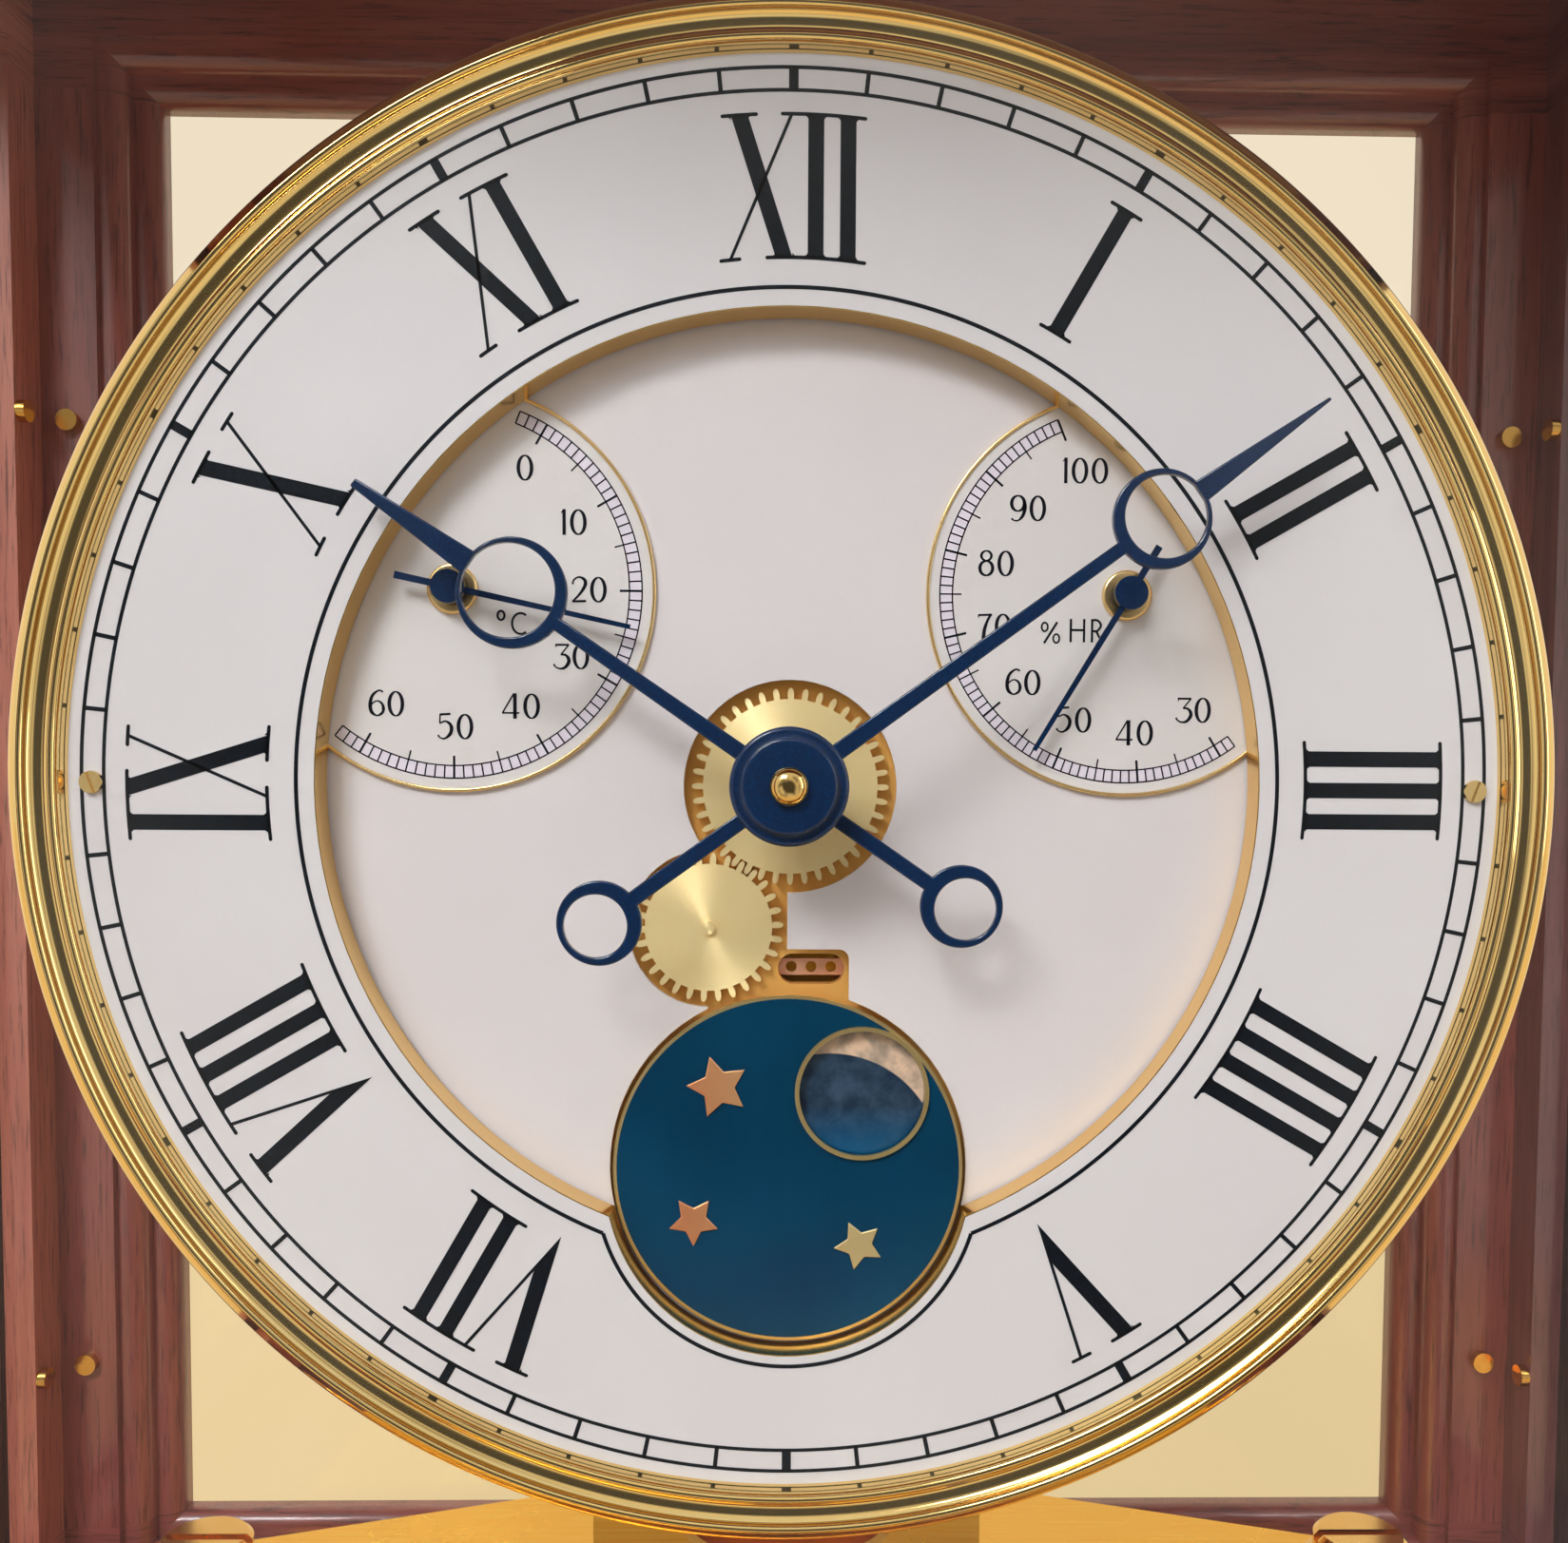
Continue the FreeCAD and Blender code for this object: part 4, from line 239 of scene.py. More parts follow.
def satin_gilding(name, tone, warm, rough, metal=1.0):
    """Gold plate with a soft blasted face, which holds light where a polished one would turn dark."""
    finish = Finish(name)
    grain = finish.add("ShaderNodeTexNoise", {
        "Vector": finish.place, "Scale": per_mm(0.12), "Detail": 3.0})
    cloud = finish.add("ShaderNodeTexNoise", {
        "Vector": finish.place, "Scale": per_mm(5.0), "Detail": 3.0})
    return finish.surface({
        "Base Color": finish.add("ShaderNodeMix", {
            "Factor": cloud, "A": tone, "B": warm}, data_type="RGBA"),
        "Metallic": metal,
        "Roughness": finish.add("ShaderNodeMapRange", {
            "Value": grain, "To Min": rough * 0.85, "To Max": rough * 1.2}),
        "Normal": finish.add("ShaderNodeBump", {
            "Height": grain, "Distance": 0.002 * MM, "Strength": 0.5}),
    })


def star_gilding():
    """Satin gold with a painted reflection: it turns from copper to yellow across the disc, standing in for
    the stars catching the light differently.
    """
    finish = Finish("star_gilding")
    grain = finish.add("ShaderNodeTexNoise", {
        "Vector": finish.place, "Scale": per_mm(0.15), "Detail": 3.0})
    # Painted reflection: copper at the left of the disc, yellow at the right.
    painted_reflection_share = finish.add("ShaderNodeMapRange", {
        "Value": finish.parts["X"], "From Min": -9 * MM, "From Max": 6 * MM})
    return finish.surface({
        "Base Color": finish.add("ShaderNodeMix", {
            "Factor": painted_reflection_share, "A": "#EFA274", "B": "#F3DCA4"}, data_type="RGBA"),
        "Metallic": 1.0,
        "Roughness": finish.add("ShaderNodeMapRange", {
            "Value": grain, "To Min": 0.38, "To Max": 0.48}),
        "Normal": finish.add("ShaderNodeBump", {
            "Height": grain, "Distance": 0.002 * MM, "Strength": 0.4}),
    })


def grained_steel():
    """Ground and polished steel with faint grinding marks."""
    finish = Finish("polished_steel")
    marks = finish.add("ShaderNodeTexNoise", {
        "Vector": finish.stretched((1.0, 1.0, 0.06)), "Scale": per_mm(0.3), "Detail": 3.0})
    return finish.surface({
        "Base Color": finish.add("ShaderNodeMix", {
            "Factor": marks, "A": "#B9BCC2", "B": "#D4D6DA"}, data_type="RGBA"),
        "Metallic": 1.0,
        "Roughness": finish.add("ShaderNodeMapRange", {
            "Value": marks, "To Min": 0.112, "To Max": 0.272}),
        "Normal": finish.add("ShaderNodeBump", {
            "Height": marks, "Distance": 0.003 * MM, "Strength": 0.3}),
    })


# Painted and printed faces


def satin_lacquer(name, tone, shade):
    """Sprayed satin lacquer: an even field with the faintest mottle and grain."""
    finish = Finish(name)
    grain = finish.add("ShaderNodeTexNoise", {
        "Vector": finish.place, "Scale": per_mm(0.14), "Detail": 2.0})
    mottle = finish.add("ShaderNodeTexNoise", {
        "Vector": finish.place, "Scale": per_mm(22.0), "Detail": 3.0})
    share = finish.add("ShaderNodeMapRange", {"Value": mottle, "From Min": 0.3, "From Max": 0.7})
    return finish.surface({
        "Base Color": finish.add("ShaderNodeMix", {
            "Factor": share, "A": shade, "B": tone}, data_type="RGBA"),
        "Roughness": finish.add("ShaderNodeMapRange", {
            "Value": grain, "To Min": 0.33, "To Max": 0.45}),
        "Specular IOR Level": 0.42,
        "Normal": finish.add("ShaderNodeBump", {
            "Height": grain, "Distance": 0.004 * MM, "Strength": 0.35}),
    })


def dial_ink(name="dial_ink", tone="#060A12", painted_sheen="#0F1A28"):
    """Thick blue-black printing ink with a painted sheen: its speckle is painted a faint blue, standing in
    for where the light catches it.
    """
    finish = Finish(name)
    speckle = finish.add("ShaderNodeTexNoise", {
        "Vector": finish.place, "Scale": per_mm(0.3), "Detail": 3.0, "Roughness": 0.6})
    # Painted sheen: the speckle mixes the faint blue into the ink's colour.
    share = finish.add("ShaderNodeMapRange", {"Value": speckle, "From Min": 0.45, "From Max": 0.8})
    return finish.surface({
        "Base Color": finish.add("ShaderNodeMix", {
            "Factor": share, "A": tone, "B": painted_sheen}, data_type="RGBA"),
        "Roughness": 0.45,
        "Specular IOR Level": 0.1,
        "Normal": finish.add("ShaderNodeBump", {
            "Height": speckle, "Distance": 0.004 * MM, "Strength": 0.2}),
    })


def hand_enamel(name):
    """Deep navy enamel under clear lacquer: nearly black face on, blue where a light runs over it."""
    finish = Finish(name)
    speckle = finish.add("ShaderNodeTexNoise", {
        "Vector": finish.place, "Scale": per_mm(0.25), "Detail": 3.0, "Roughness": 0.6})
    share = finish.add("ShaderNodeMapRange", {"Value": speckle, "From Min": 0.4, "From Max": 0.9})
    return finish.surface({
        "Base Color": finish.add("ShaderNodeMix", {
            "Factor": share, "A": "#001C3E", "B": "#022D5A"}, data_type="RGBA"),
        "Roughness": finish.add("ShaderNodeMapRange", {
            "Value": speckle, "To Min": 0.2, "To Max": 0.26}),
        "Specular IOR Level": 0.35,
        "Coat Weight": 0.5,
        "Coat Roughness": 0.04,
    })


def sky_lacquer():
    """Teal blue gloss lacquer over a brushed disc: the brushing shows as soft upright streaks."""
    finish = Finish("sky_lacquer")
    streaks = finish.add("ShaderNodeTexNoise", {
        "Vector": finish.stretched((1.0, 1.0, 0.03)), "Scale": per_mm(0.5), "Detail": 3.0})
    cloud = finish.add("ShaderNodeTexNoise", {
        "Vector": finish.place, "Scale": per_mm(16.0), "Detail": 1.0})
    cloud_share = finish.add("ShaderNodeMapRange", {
        "Value": cloud, "From Min": 0.35, "From Max": 0.7})
    tone = finish.add("ShaderNodeMix", {
        "Factor": cloud_share, "A": "#002B47", "B": "#003B5A"}, data_type="RGBA")
    streak_share = finish.add("ShaderNodeMapRange", {"Value": streaks, "To Max": 0.2})
    return finish.surface({
        "Base Color": finish.add("ShaderNodeMix", {
            "Factor": streak_share, "A": tone, "B": "#054A66"}, data_type="RGBA"),
        "Roughness": finish.add("ShaderNodeMapRange", {
            "Value": streaks, "To Min": 0.22, "To Max": 0.28}),
        "Specular IOR Level": 0.12,
        "Coat Weight": 0.1,
        "Coat Roughness": 0.06,
    })


def moon_picture():
    """A gloss print of a grey and peach moon behind the rim of a dark blue, cloudy sky."""
    finish = Finish("moon_picture")
    local = finish.stretched((1.0, 0.0, 1.0), spot(HORIZON_X, HORIZON_UP, 0.0))
    far = finish.add("ShaderNodeVectorMath", {0: local}, operation="LENGTH").outputs["Value"]
    lit = finish.add("ShaderNodeMapRange", {
        "Value": far,
        "From Min": (HORIZON_RADIUS - HORIZON_BLUR) * MM,
        "From Max": (HORIZON_RADIUS + HORIZON_BLUR) * MM,
    })
    patches = finish.add("ShaderNodeTexNoise", {
        "Vector": finish.place, "Scale": per_mm(2.2), "Detail": 3.0, "Roughness": 0.55})
    seas = finish.add("ShaderNodeMapRange", {"Value": patches, "From Min": 0.42, "From Max": 0.62})
    billows = finish.add("ShaderNodeTexNoise", {
        "Vector": finish.place, "Scale": per_mm(2.6), "Detail": 4.0, "Roughness": 0.6})
    clouds = finish.add("ShaderNodeMapRange", {"Value": billows, "From Min": 0.38, "From Max": 0.66})
    low = finish.add("ShaderNodeMapRange", {
        "Value": finish.parts["Z"],
        "From Min": spot(0.0, MOON_UP + 1.5, 0.0).z,
        "From Max": spot(0.0, MOON_UP + 5.5, 0.0).z,
        "To Min": 0.9,
        "To Max": 0.0,
    })
    cloudy = finish.add("ShaderNodeMix", {
        "Factor": clouds, "A": "#15283E", "B": "#34485D"}, data_type="RGBA")
    sky = finish.add("ShaderNodeMix", {"Factor": low, "A": cloudy, "B": "#045078"}, data_type="RGBA")
    moon = finish.add("ShaderNodeMix", {
        "Factor": seas, "A": "#DDBBA0", "B": "#A08E7E"}, data_type="RGBA")
    return finish.surface({
        "Base Color": finish.add("ShaderNodeMix", {
            "Factor": lit, "A": sky, "B": moon}, data_type="RGBA"),
        "Roughness": 0.2,
        "Coat Weight": 0.6,
        "Coat Roughness": 0.05,
    })


# Wood and glass


def lacquered_mahogany(name, deep, ruddy, lengthwise=(0.05, 0.05, 1.0)):
    """Red mahogany under thick gloss lacquer: dark pores run along each rail and stile."""
    finish = Finish(name)
    low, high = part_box("rear_frame")
    above = finish.add("ShaderNodeMath", {
        0: finish.parts["Z"], 1: high.z - RAIL_WIDTH * MM}, operation="GREATER_THAN")
    below = finish.add("ShaderNodeMath", {
        0: finish.parts["Z"], 1: low.z + RAIL_WIDTH * MM}, operation="LESS_THAN")
    along = finish.add("ShaderNodeMix", {
        "Factor": finish.add("ShaderNodeMath", {0: above, 1: below}, operation="MAXIMUM"),
        "A": finish.stretched((1.0, 1.0, 0.05)),
        "B": finish.stretched(lengthwise),
    }, data_type="VECTOR")
    cloud = finish.add("ShaderNodeTexNoise", {
        "Vector": along, "Scale": per_mm(5.0), "Detail": 5.0, "Roughness": 0.6})
    figure = finish.add("ShaderNodeMapRange", {"Value": cloud, "From Min": 0.3, "From Max": 0.7})
    pores = finish.add("ShaderNodeTexNoise", {
        "Vector": along, "Scale": per_mm(0.45), "Detail": 4.0, "Roughness": 0.7})
    dark = finish.add("ShaderNodeMapRange", {
        "Value": pores, "From Min": 0.52, "From Max": 0.66, "To Max": 0.65})
    wood = finish.add("ShaderNodeMix", {"Factor": figure, "A": deep, "B": ruddy}, data_type="RGBA")
    return finish.surface({
        "Base Color": finish.add("ShaderNodeMix", {
            "Factor": dark, "A": wood, "B": "#3A1718"}, data_type="RGBA"),
        "Roughness": finish.add("ShaderNodeMapRange", {
            "Value": pores, "To Min": 0.35, "To Max": 0.5}),
        "Coat Weight": 1.0,
        "Coat Roughness": 0.1,
        "Normal": finish.add("ShaderNodeBump", {
            "Height": pores, "Distance": 0.02 * MM, "Strength": 0.25}),
    })


def coated_glass():
    """Clear coated glass that mirrors very little; light from the lamps passes straight through."""
    finish = Finish("clear_coated_glass")
    waver = finish.add("ShaderNodeTexNoise", {
        "Vector": finish.place, "Scale": per_mm(60.0), "Detail": 1.0})
    pane = finish.add("ShaderNodeBsdfPrincipled", {
        "Base Color": "#FEFFFE",
        "Roughness": 0.0,
        "IOR": 1.5,
        "Specular IOR Level": 0.12,
        "Specular Tint": "#9A9A9A",
        "Transmission Weight": 1.0,
        "Normal": finish.add("ShaderNodeBump", {
            "Height": waver, "Distance": 0.01 * MM, "Strength": 0.1}),
    })
    open_way = finish.add("ShaderNodeBsdfTransparent", {"Color": "#FAFBFA"})
    shadow = finish.add("ShaderNodeLightPath").outputs["Is Shadow Ray"]
    return finish.closed(finish.add("ShaderNodeMixShader", {0: shadow, 1: pane, 2: open_way}))


# Meshes


def polar(angle, radius):
    """A point on the dial by its angle clockwise from XII."""
    turn = math.radians(angle)
    return radius * math.sin(turn), radius * math.cos(turn)


def turned_by(points, angle):
    """Points of a shape drawn pointing at XII, turned clockwise by an angle."""
    sine, cosine = math.sin(math.radians(angle)), math.cos(math.radians(angle))
    return [(x * cosine + y * sine, y * cosine - x * sine) for x, y in points]


def linked(name, data):
    """A new object in the scene."""
    item = bpy.data.objects.new(name, data)
    bpy.context.scene.collection.objects.link(item)
    return item


class Shape:
    """Closed solids gathered into one mesh; each takes local points and a place that maps them."""

    def __init__(self, place=spot):
        self.place = place
        self.points = []
        self.faces = []

    def add(self, points, faces):
        start = len(self.points)
        self.points += [self.place(*point) for point in points]
        self.faces += [[start + corner for corner in face] for face in faces]

    def prism(self, outline, low, high):
        """A plate with an anticlockwise outline."""
        count = len(outline)
        points = [(x, y, high) for x, y in outline] + [(x, y, low) for x, y in outline]
        faces = [list(range(count)), list(range(2 * count - 1, count - 1, -1))]
        for i in range(count):
            k = (i + 1) % count
            faces.append([i, count + i, count + k, k])
        self.add(points, faces)

    def strip(self, edges, low, high, closed):
        """A flat strip between pairs of edge points."""
        count = len(edges)
        points = []
        for left, right in edges:
            points += [(*left, high), (*left, low), (*right, high), (*right, low)]
        faces = []
        for i in range(count if closed else count - 1):
            a, b = 4 * i, 4 * ((i + 1) % count)
            faces += [[a, a + 2, b + 2, b], [a + 1, b + 1, b + 3, a + 3], [a, b, b + 1, a + 1],
                      [a + 2, a + 3, b + 3, b + 2]]
        if not closed:
            last = 4 * (count - 1)
            faces += [[0, 1, 3, 2], [last, last + 2, last + 3, last + 1]]
        self.add(points, faces)

    def band(self, centre, inner, outer, low, high, start=0.0, sweep=FULL_TURN, steps=180, hole=None):
        """A flat ring or a part of one; the hole may have a centre of its own."""
        whole = sweep >= FULL_TURN
        edges = []
        for i in range(steps if whole else steps + 1):
            angle = start + sweep * i / steps
            pair = []
            for middle, radius in ((centre, outer), (hole or centre, inner)):
                x, y = polar(angle, radius)
                pair.append((middle[0] + x, middle[1] + y))
            edges.append(pair)
        self.strip(edges, low, high, whole)

    def ribbon(self, path, widths, low, high, closed=False):
        """A pen stroke along a path whose width changes on the way."""
        count = len(path)
        edges = []
        for i, (x, y) in enumerate(path):
            before = path[i - 1] if i > 0 or closed else path[0]
            after = path[(i + 1) % count] if i < count - 1 or closed else path[-1]
            dx, dy = after[0] - before[0], after[1] - before[1]
            size = math.hypot(dx, dy) or 1.0
            half = widths[i] / 2
            painted_reflection_share = (-dy / size * half, dx / size * half)
            edges.append(((x + painted_reflection_share[0], y + painted_reflection_share[1]), (x - painted_reflection_share[0], y - painted_reflection_share[1])))
        self.strip(edges, low, high, closed)

    def lathe(self, centre, section, steps=240, ring=True):
        """A turned solid from radius and height pairs; a path that isn't a ring ends on the axis."""
        rows = []
        points = []
        for radius, height in section:
            start = len(points)
            if radius == 0.0:
                rows.append([start] * steps)
                points.append((*centre, height))
                continue
            rows.append([start + i for i in range(steps)])
            for i in range(steps):
                x, y = polar(FULL_TURN * i / steps, radius)
                points.append((centre[0] + x, centre[1] + y, height))
        faces = []
        for here, there in zip(rows, rows[1:] + rows[:1] if ring else rows[1:]):
            for i in range(steps):
                k = (i + 1) % steps
                face = list(dict.fromkeys((here[i], here[k], there[k], there[i])))
                if len(face) > 2:
                    faces.append(face)
        self.add(points, faces)

    def piece(self, name, material, body, bevel=0.0, sharp=35.0, slot=None, replaces=None):
        """The finished piece, riding on its body."""
        mesh = bpy.data.meshes.new(name)
        mesh.from_pydata(self.points, [], self.faces)
        ready(linked(name, mesh), material, body, bevel, sharp, replaces)


def ready(piece, material, body, bevel=0.0, sharp=35.0, replaces=None):
    """Turns a mesh piece's faces outward, shades it, gives it its material and sets it on its body."""
    mesh = piece.data
    shell = bmesh.new()
    shell.from_mesh(mesh)
    bmesh.ops.recalc_face_normals(shell, faces=shell.faces)
    shell.to_mesh(mesh)
    shell.free()
    mesh.polygons.foreach_set("use_smooth", [True] * len(mesh.polygons))
    mesh.set_sharp_from_angle(angle=math.radians(sharp))
    mesh.materials.clear()
    mesh.materials.append(material)
    if bevel:
        soft = piece.modifiers.new("soft_edges", "BEVEL")
        soft.width = bevel * MM
        soft.segments = 3
        soft.limit_method = "ANGLE"
        soft.angle_limit = math.radians(sharp)
    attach(piece, body)
    if replaces:
        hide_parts(replaces)


def dress(material, *names):
    """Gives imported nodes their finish."""
    for name in names:
        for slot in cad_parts[name].material_slots:
            slot.material = material


def rounded(corners):
    """A section whose corners are rounded; a corner is (radius, height, rounding)."""
    longest_share, steps = 0.45, 5
    path = []
    count = len(corners)
    for i, (x, y, size) in enumerate(corners):
        if not size:
            path.append((x, y))
            continue
        here = Vector((x, y))
        into = Vector(corners[i - 1][:2]) - here
        out = Vector(corners[(i + 1) % count][:2]) - here
        size = min(size, into.length * longest_share, out.length * longest_share)
        start, end = here + into.normalized() * size, here + out.normalized() * size
        for k in range(steps + 1):
            t = k / steps
            path.append(tuple(start * (1 - t) ** 2 + here * 2 * t * (1 - t) + end * t ** 2))
    return path


def smooth_path(points, widths, steps=6):
    """A curve through points, with its width blended along it."""
    path, sizes = [], []
    last = len(points) - 1
    for i in range(last):
        a, b, c, d = (points[max(0, min(last, i + shift))] for shift in (-1, 0, 1, 2))
        for k in range(steps):
            t = k / steps
            path.append(tuple(
                0.5 * (2 * b[j] + (c[j] - a[j]) * t + (2 * a[j] - 5 * b[j] + 4 * c[j] - d[j]) * t * t
                       + (3 * b[j] - a[j] - 3 * c[j] + d[j]) * t ** 3) for j in (0, 1)))
            wide = t * t * (3 - 2 * t)
            sizes.append(widths[i] * (1 - wide) + widths[i + 1] * wide)
    path.append(tuple(points[-1]))
    sizes.append(widths[-1])
    return path, sizes


# Geometry trees


def open_tree(name, sockets):
    """A geometry tree with its named inputs."""
    tree = bpy.data.node_groups.new(name, "GeometryNodeTree")
    for socket, kind in sockets:
        tree.interface.new_socket(socket, in_out="INPUT", socket_type="NodeSocket" + kind)
    tree.interface.new_socket("Geometry", in_out="OUTPUT", socket_type="NodeSocketGeometry")
    nodes = Nodes(tree)
    return nodes, nodes.add("NodeGroupInput").outputs


def close_tree(nodes, geometry, given, turn=(0.0, 0.0, 0.0)):
    """Sets the geometry at its centre, makes it real and gives it its finish."""
    placed = nodes.add("GeometryNodeTransform", {
        "Geometry": geometry, "Rotation": turn, "Translation": given["Centre"]})
    real = nodes.add("GeometryNodeRealizeInstances", {"Geometry": placed})
    painted = nodes.add("GeometryNodeSetMaterial", {"Geometry": real, "Material": given["Finish"]})
    nodes.add("NodeGroupOutput", {"Geometry": painted})
    return nodes.tree


def scale_tree():
    """Bars set round a circle: one tree makes every scale on the clock."""
    nodes, given = open_tree("scale_marks", (
        ("Marks", "Int"), ("First Angle", "Float"), ("Step", "Float"), ("Left Out Every", "Int"),
        ("First Number", "Int"), ("Inner Radius", "Float"), ("Outer Radius", "Float"), ("Width", "Float"),
        ("Height", "Float"), ("Centre", "Vector"), ("Finish", "Material")))
    line = nodes.add("GeometryNodeMeshLine", {"Count": given["Marks"], "Offset": (0.0, 0.0, 0.0)},
                     mode="OFFSET")
    index = nodes.add("GeometryNodeInputIndex")
    turned = nodes.add("ShaderNodeMath", {0: index, 1: given["Step"]}, operation="MULTIPLY")
    angle = nodes.add("ShaderNodeMath", {0: turned, 1: given["First Angle"]}, operation="ADD")
    number = nodes.add("ShaderNodeMath", {0: index, 1: given["First Number"]}, operation="ADD")
    rest = nodes.add("ShaderNodeMath", {0: number, 1: given["Left Out Every"]}, operation="MODULO")
    ends = {0: given["Outer Radius"], 1: given["Inner Radius"]}
    both = nodes.add("ShaderNodeMath", ends, operation="ADD")
    bar = nodes.add("GeometryNodeMeshCube", {"Size": nodes.add("ShaderNodeCombineXYZ", {
        "X": given["Width"],
        "Y": given["Height"],
        "Z": nodes.add("ShaderNodeMath", ends, operation="SUBTRACT"),
    })})
    raised = nodes.add("GeometryNodeTransform", {
        "Geometry": bar.outputs["Mesh"],
        "Translation": nodes.add("ShaderNodeCombineXYZ", {
            "Y": nodes.add("ShaderNodeMath", {0: given["Height"], 1: -0.5}, operation="MULTIPLY"),
            "Z": nodes.add("ShaderNodeMath", {0: both, 1: 0.5}, operation="MULTIPLY"),
        }),
    })
    copies = nodes.add("GeometryNodeInstanceOnPoints", {
        "Points": line,
        "Selection": nodes.add("ShaderNodeMath", {0: rest, 1: 0.5}, operation="GREATER_THAN"),
        "Instance": raised,
        "Rotation": nodes.add("ShaderNodeCombineXYZ", {
            "Y": nodes.add("ShaderNodeMath", {0: angle}, operation="RADIANS")}),
    })
    return close_tree(nodes, copies, given)


def ring_tree():
    """A turned ring: its section, drawn as a closed line, is swept round the dial's centre."""
    nodes, given = open_tree("turned_ring", (
        ("Section", "Geometry"), ("Radius", "Float"), ("Steps", "Int"), ("Centre", "Vector"),
        ("Finish", "Material")))
    circle = nodes.add("GeometryNodeCurvePrimitiveCircle", {
        "Radius": given["Radius"], "Resolution": given["Steps"]})
    upward = nodes.add("GeometryNodeSetCurveNormal", {"Curve": circle}, mode="Z_UP")
    section = nodes.add("GeometryNodeMeshToCurve", {"Mesh": given["Section"]})
    swept = nodes.add("GeometryNodeCurveToMesh", {"Curve": upward, "Profile Curve": section})
    return close_tree(nodes, swept, given, (-math.pi / 2, 0.0, 0.0))


def from_tree(name, tree, values, replaces=None, sharp=35.0, seed=None):
    """Runs a geometry tree on a seed mesh and keeps its result as a plain mesh on the case."""
    maker = linked(name, seed or bpy.data.meshes.new(name + "_seed"))
    modifier = maker.modifiers.new("maker", "NODES")
    modifier.node_group = tree
    for item in tree.interface.items_tree:
        if item.in_out == "INPUT" and item.name in values:
            modifier[item.identifier] = values[item.name]
    bpy.context.view_layer.update()
    evaluated = maker.evaluated_get(bpy.context.evaluated_depsgraph_get())
    mesh = bpy.data.meshes.new_from_object(evaluated)
    maker.modifiers.remove(modifier)
    maker.data = mesh
    mesh.name = name
    if not mesh.polygons:
        raise RuntimeError("%s came out empty" % name)
    ready(maker, values["Finish"], "case", sharp=sharp, replaces=replaces)


def scale_marks(name, centre, out, angles, radii, width, finish, left_out=NEVER, number=1):
    """Bars between two radii, printed before a face; the angles are the count, the first and the step."""
    tree = bpy.data.node_groups.get("scale_marks") or scale_tree()
    marks, first, step = angles
    from_tree(name, tree, {
        "Marks": marks,
        "First Angle": first,
        "Step": step,
        "Left Out Every": left_out,
        "First Number": number,
        "Inner Radius": radii[0] * MM,
        "Outer Radius": radii[1] * MM,
        "Width": width * MM,
        "Height": INK_HEIGHT * MM,
        "Centre": spot(*centre, out),
        "Finish": finish,
    })


# Settings that a user would change


def length(name, description, default):
    return bpy.props.FloatProperty(name=name, description=description + ", mm", default=default)


def colour(name, description, code):
    return bpy.props.FloatVectorProperty(name=name, description=description, default=linear(code), size=4,
                                         min=0.0, max=1.0, subtype="COLOR")


class DialSettings(bpy.types.PropertyGroup):
    numeral_inner: length("Numeral foot", "Radius of the numerals' feet", 44.45)
    numeral_outer: length("Numeral head", "Radius of the numerals' heads", 56.2)
    bar_width: length("Bar", "Width of a numeral's thick strokes", 1.33)
    hairline: length("Hairline", "Width of thin strokes and serifs", 0.3)
    bar_pitch: length("Bar pitch", "Distance between two bars", 2.7)
    track_inner: length("Inner track line", "Radius of the minute track's inner line", 58.14)
    track_outer: length("Outer track line", "Radius of the minute track's outer line", 60.0)
    border: length("Inner border", "Radius of the line along the ring's opening", 42.0)
    face: colour("Ring colour", "Lacquer of the chapter ring", "#D3CDCE")
    plate: colour("Centre colour", "Lacquer of the plate behind the ring", "#D7CECF")


class StageSettings(bpy.types.PropertyGroup):
    backdrop: colour("Backdrop", "Colour of the wall", "#F6E5CB")
    floor: colour("Floor", "Colour of the shelf", "#F3D6A2")
    key: bpy.props.FloatProperty(name="Key lamp", description="Power of the main lamp", default=10.9,
                                 unit="POWER")
    fill: bpy.props.FloatProperty(name="Room light", description="Strength of the surroundings",
                                  default=0.6, subtype="FACTOR")


# Operators


class CLOCK_OT_stage(bpy.types.Operator):
    """Sets the floor, the backdrop, the lamps and the camera"""

    bl_idname = "clock.stage"
    bl_label = "Stage"

    def execute(self, context):
        settings = context.scene.clock_stage
        make_floor(settings)
        make_lamps(settings)
        make_room(settings)
        make_camera()
        return {"FINISHED"}


class CLOCK_OT_case(bpy.types.Operator):
    """Finishes the wooden case, its panes and its fittings"""

    bl_idname = "clock.case"
    bl_label = "Case"

    def execute(self, context):
        finish_case()
        return {"FINISHED"}


class CLOCK_OT_bezel(bpy.types.Operator):
    """Turns the polished bezel"""

    bl_idname = "clock.bezel"
    bl_label = "Bezel"

    def execute(self, context):
        make_bezel()
        return {"FINISHED"}


class CLOCK_OT_chapter_ring(bpy.types.Operator):
    """Prints the numerals and the minute track on the chapter ring"""

    bl_idname = "clock.chapter_ring"
    bl_label = "Chapter ring"

    def execute(self, context):
        print_chapter_ring(context.scene.clock_dial)
        return {"FINISHED"}


class CLOCK_OT_small_dials(bpy.types.Operator):
    """Prints the thermometer and the hygrometer and finishes their pointers"""

    bl_idname = "clock.small_dials"
    bl_label = "Small dials"

    def execute(self, context):
        make_small_dials()
        return {"FINISHED"}


class CLOCK_OT_hands(bpy.types.Operator):
    """Makes the hour and minute hands and their nut"""

    bl_idname = "clock.hands"
    bl_label = "Hands"

    def execute(self, context):
        make_hands()
        return {"FINISHED"}


class CLOCK_OT_wheels(bpy.types.Operator):
    """Finishes the open wheels under the hands"""

    bl_idname = "clock.wheels"
    bl_label = "Open wheels"

    def execute(self, context):
        finish_wheels()
        return {"FINISHED"}


class CLOCK_OT_moon(bpy.types.Operator):
    """Finishes the moon disc, its window, its rings and its stars"""

    bl_idname = "clock.moon"
    bl_label = "Moon display"

    def execute(self, context):
        make_moon()
        return {"FINISHED"}


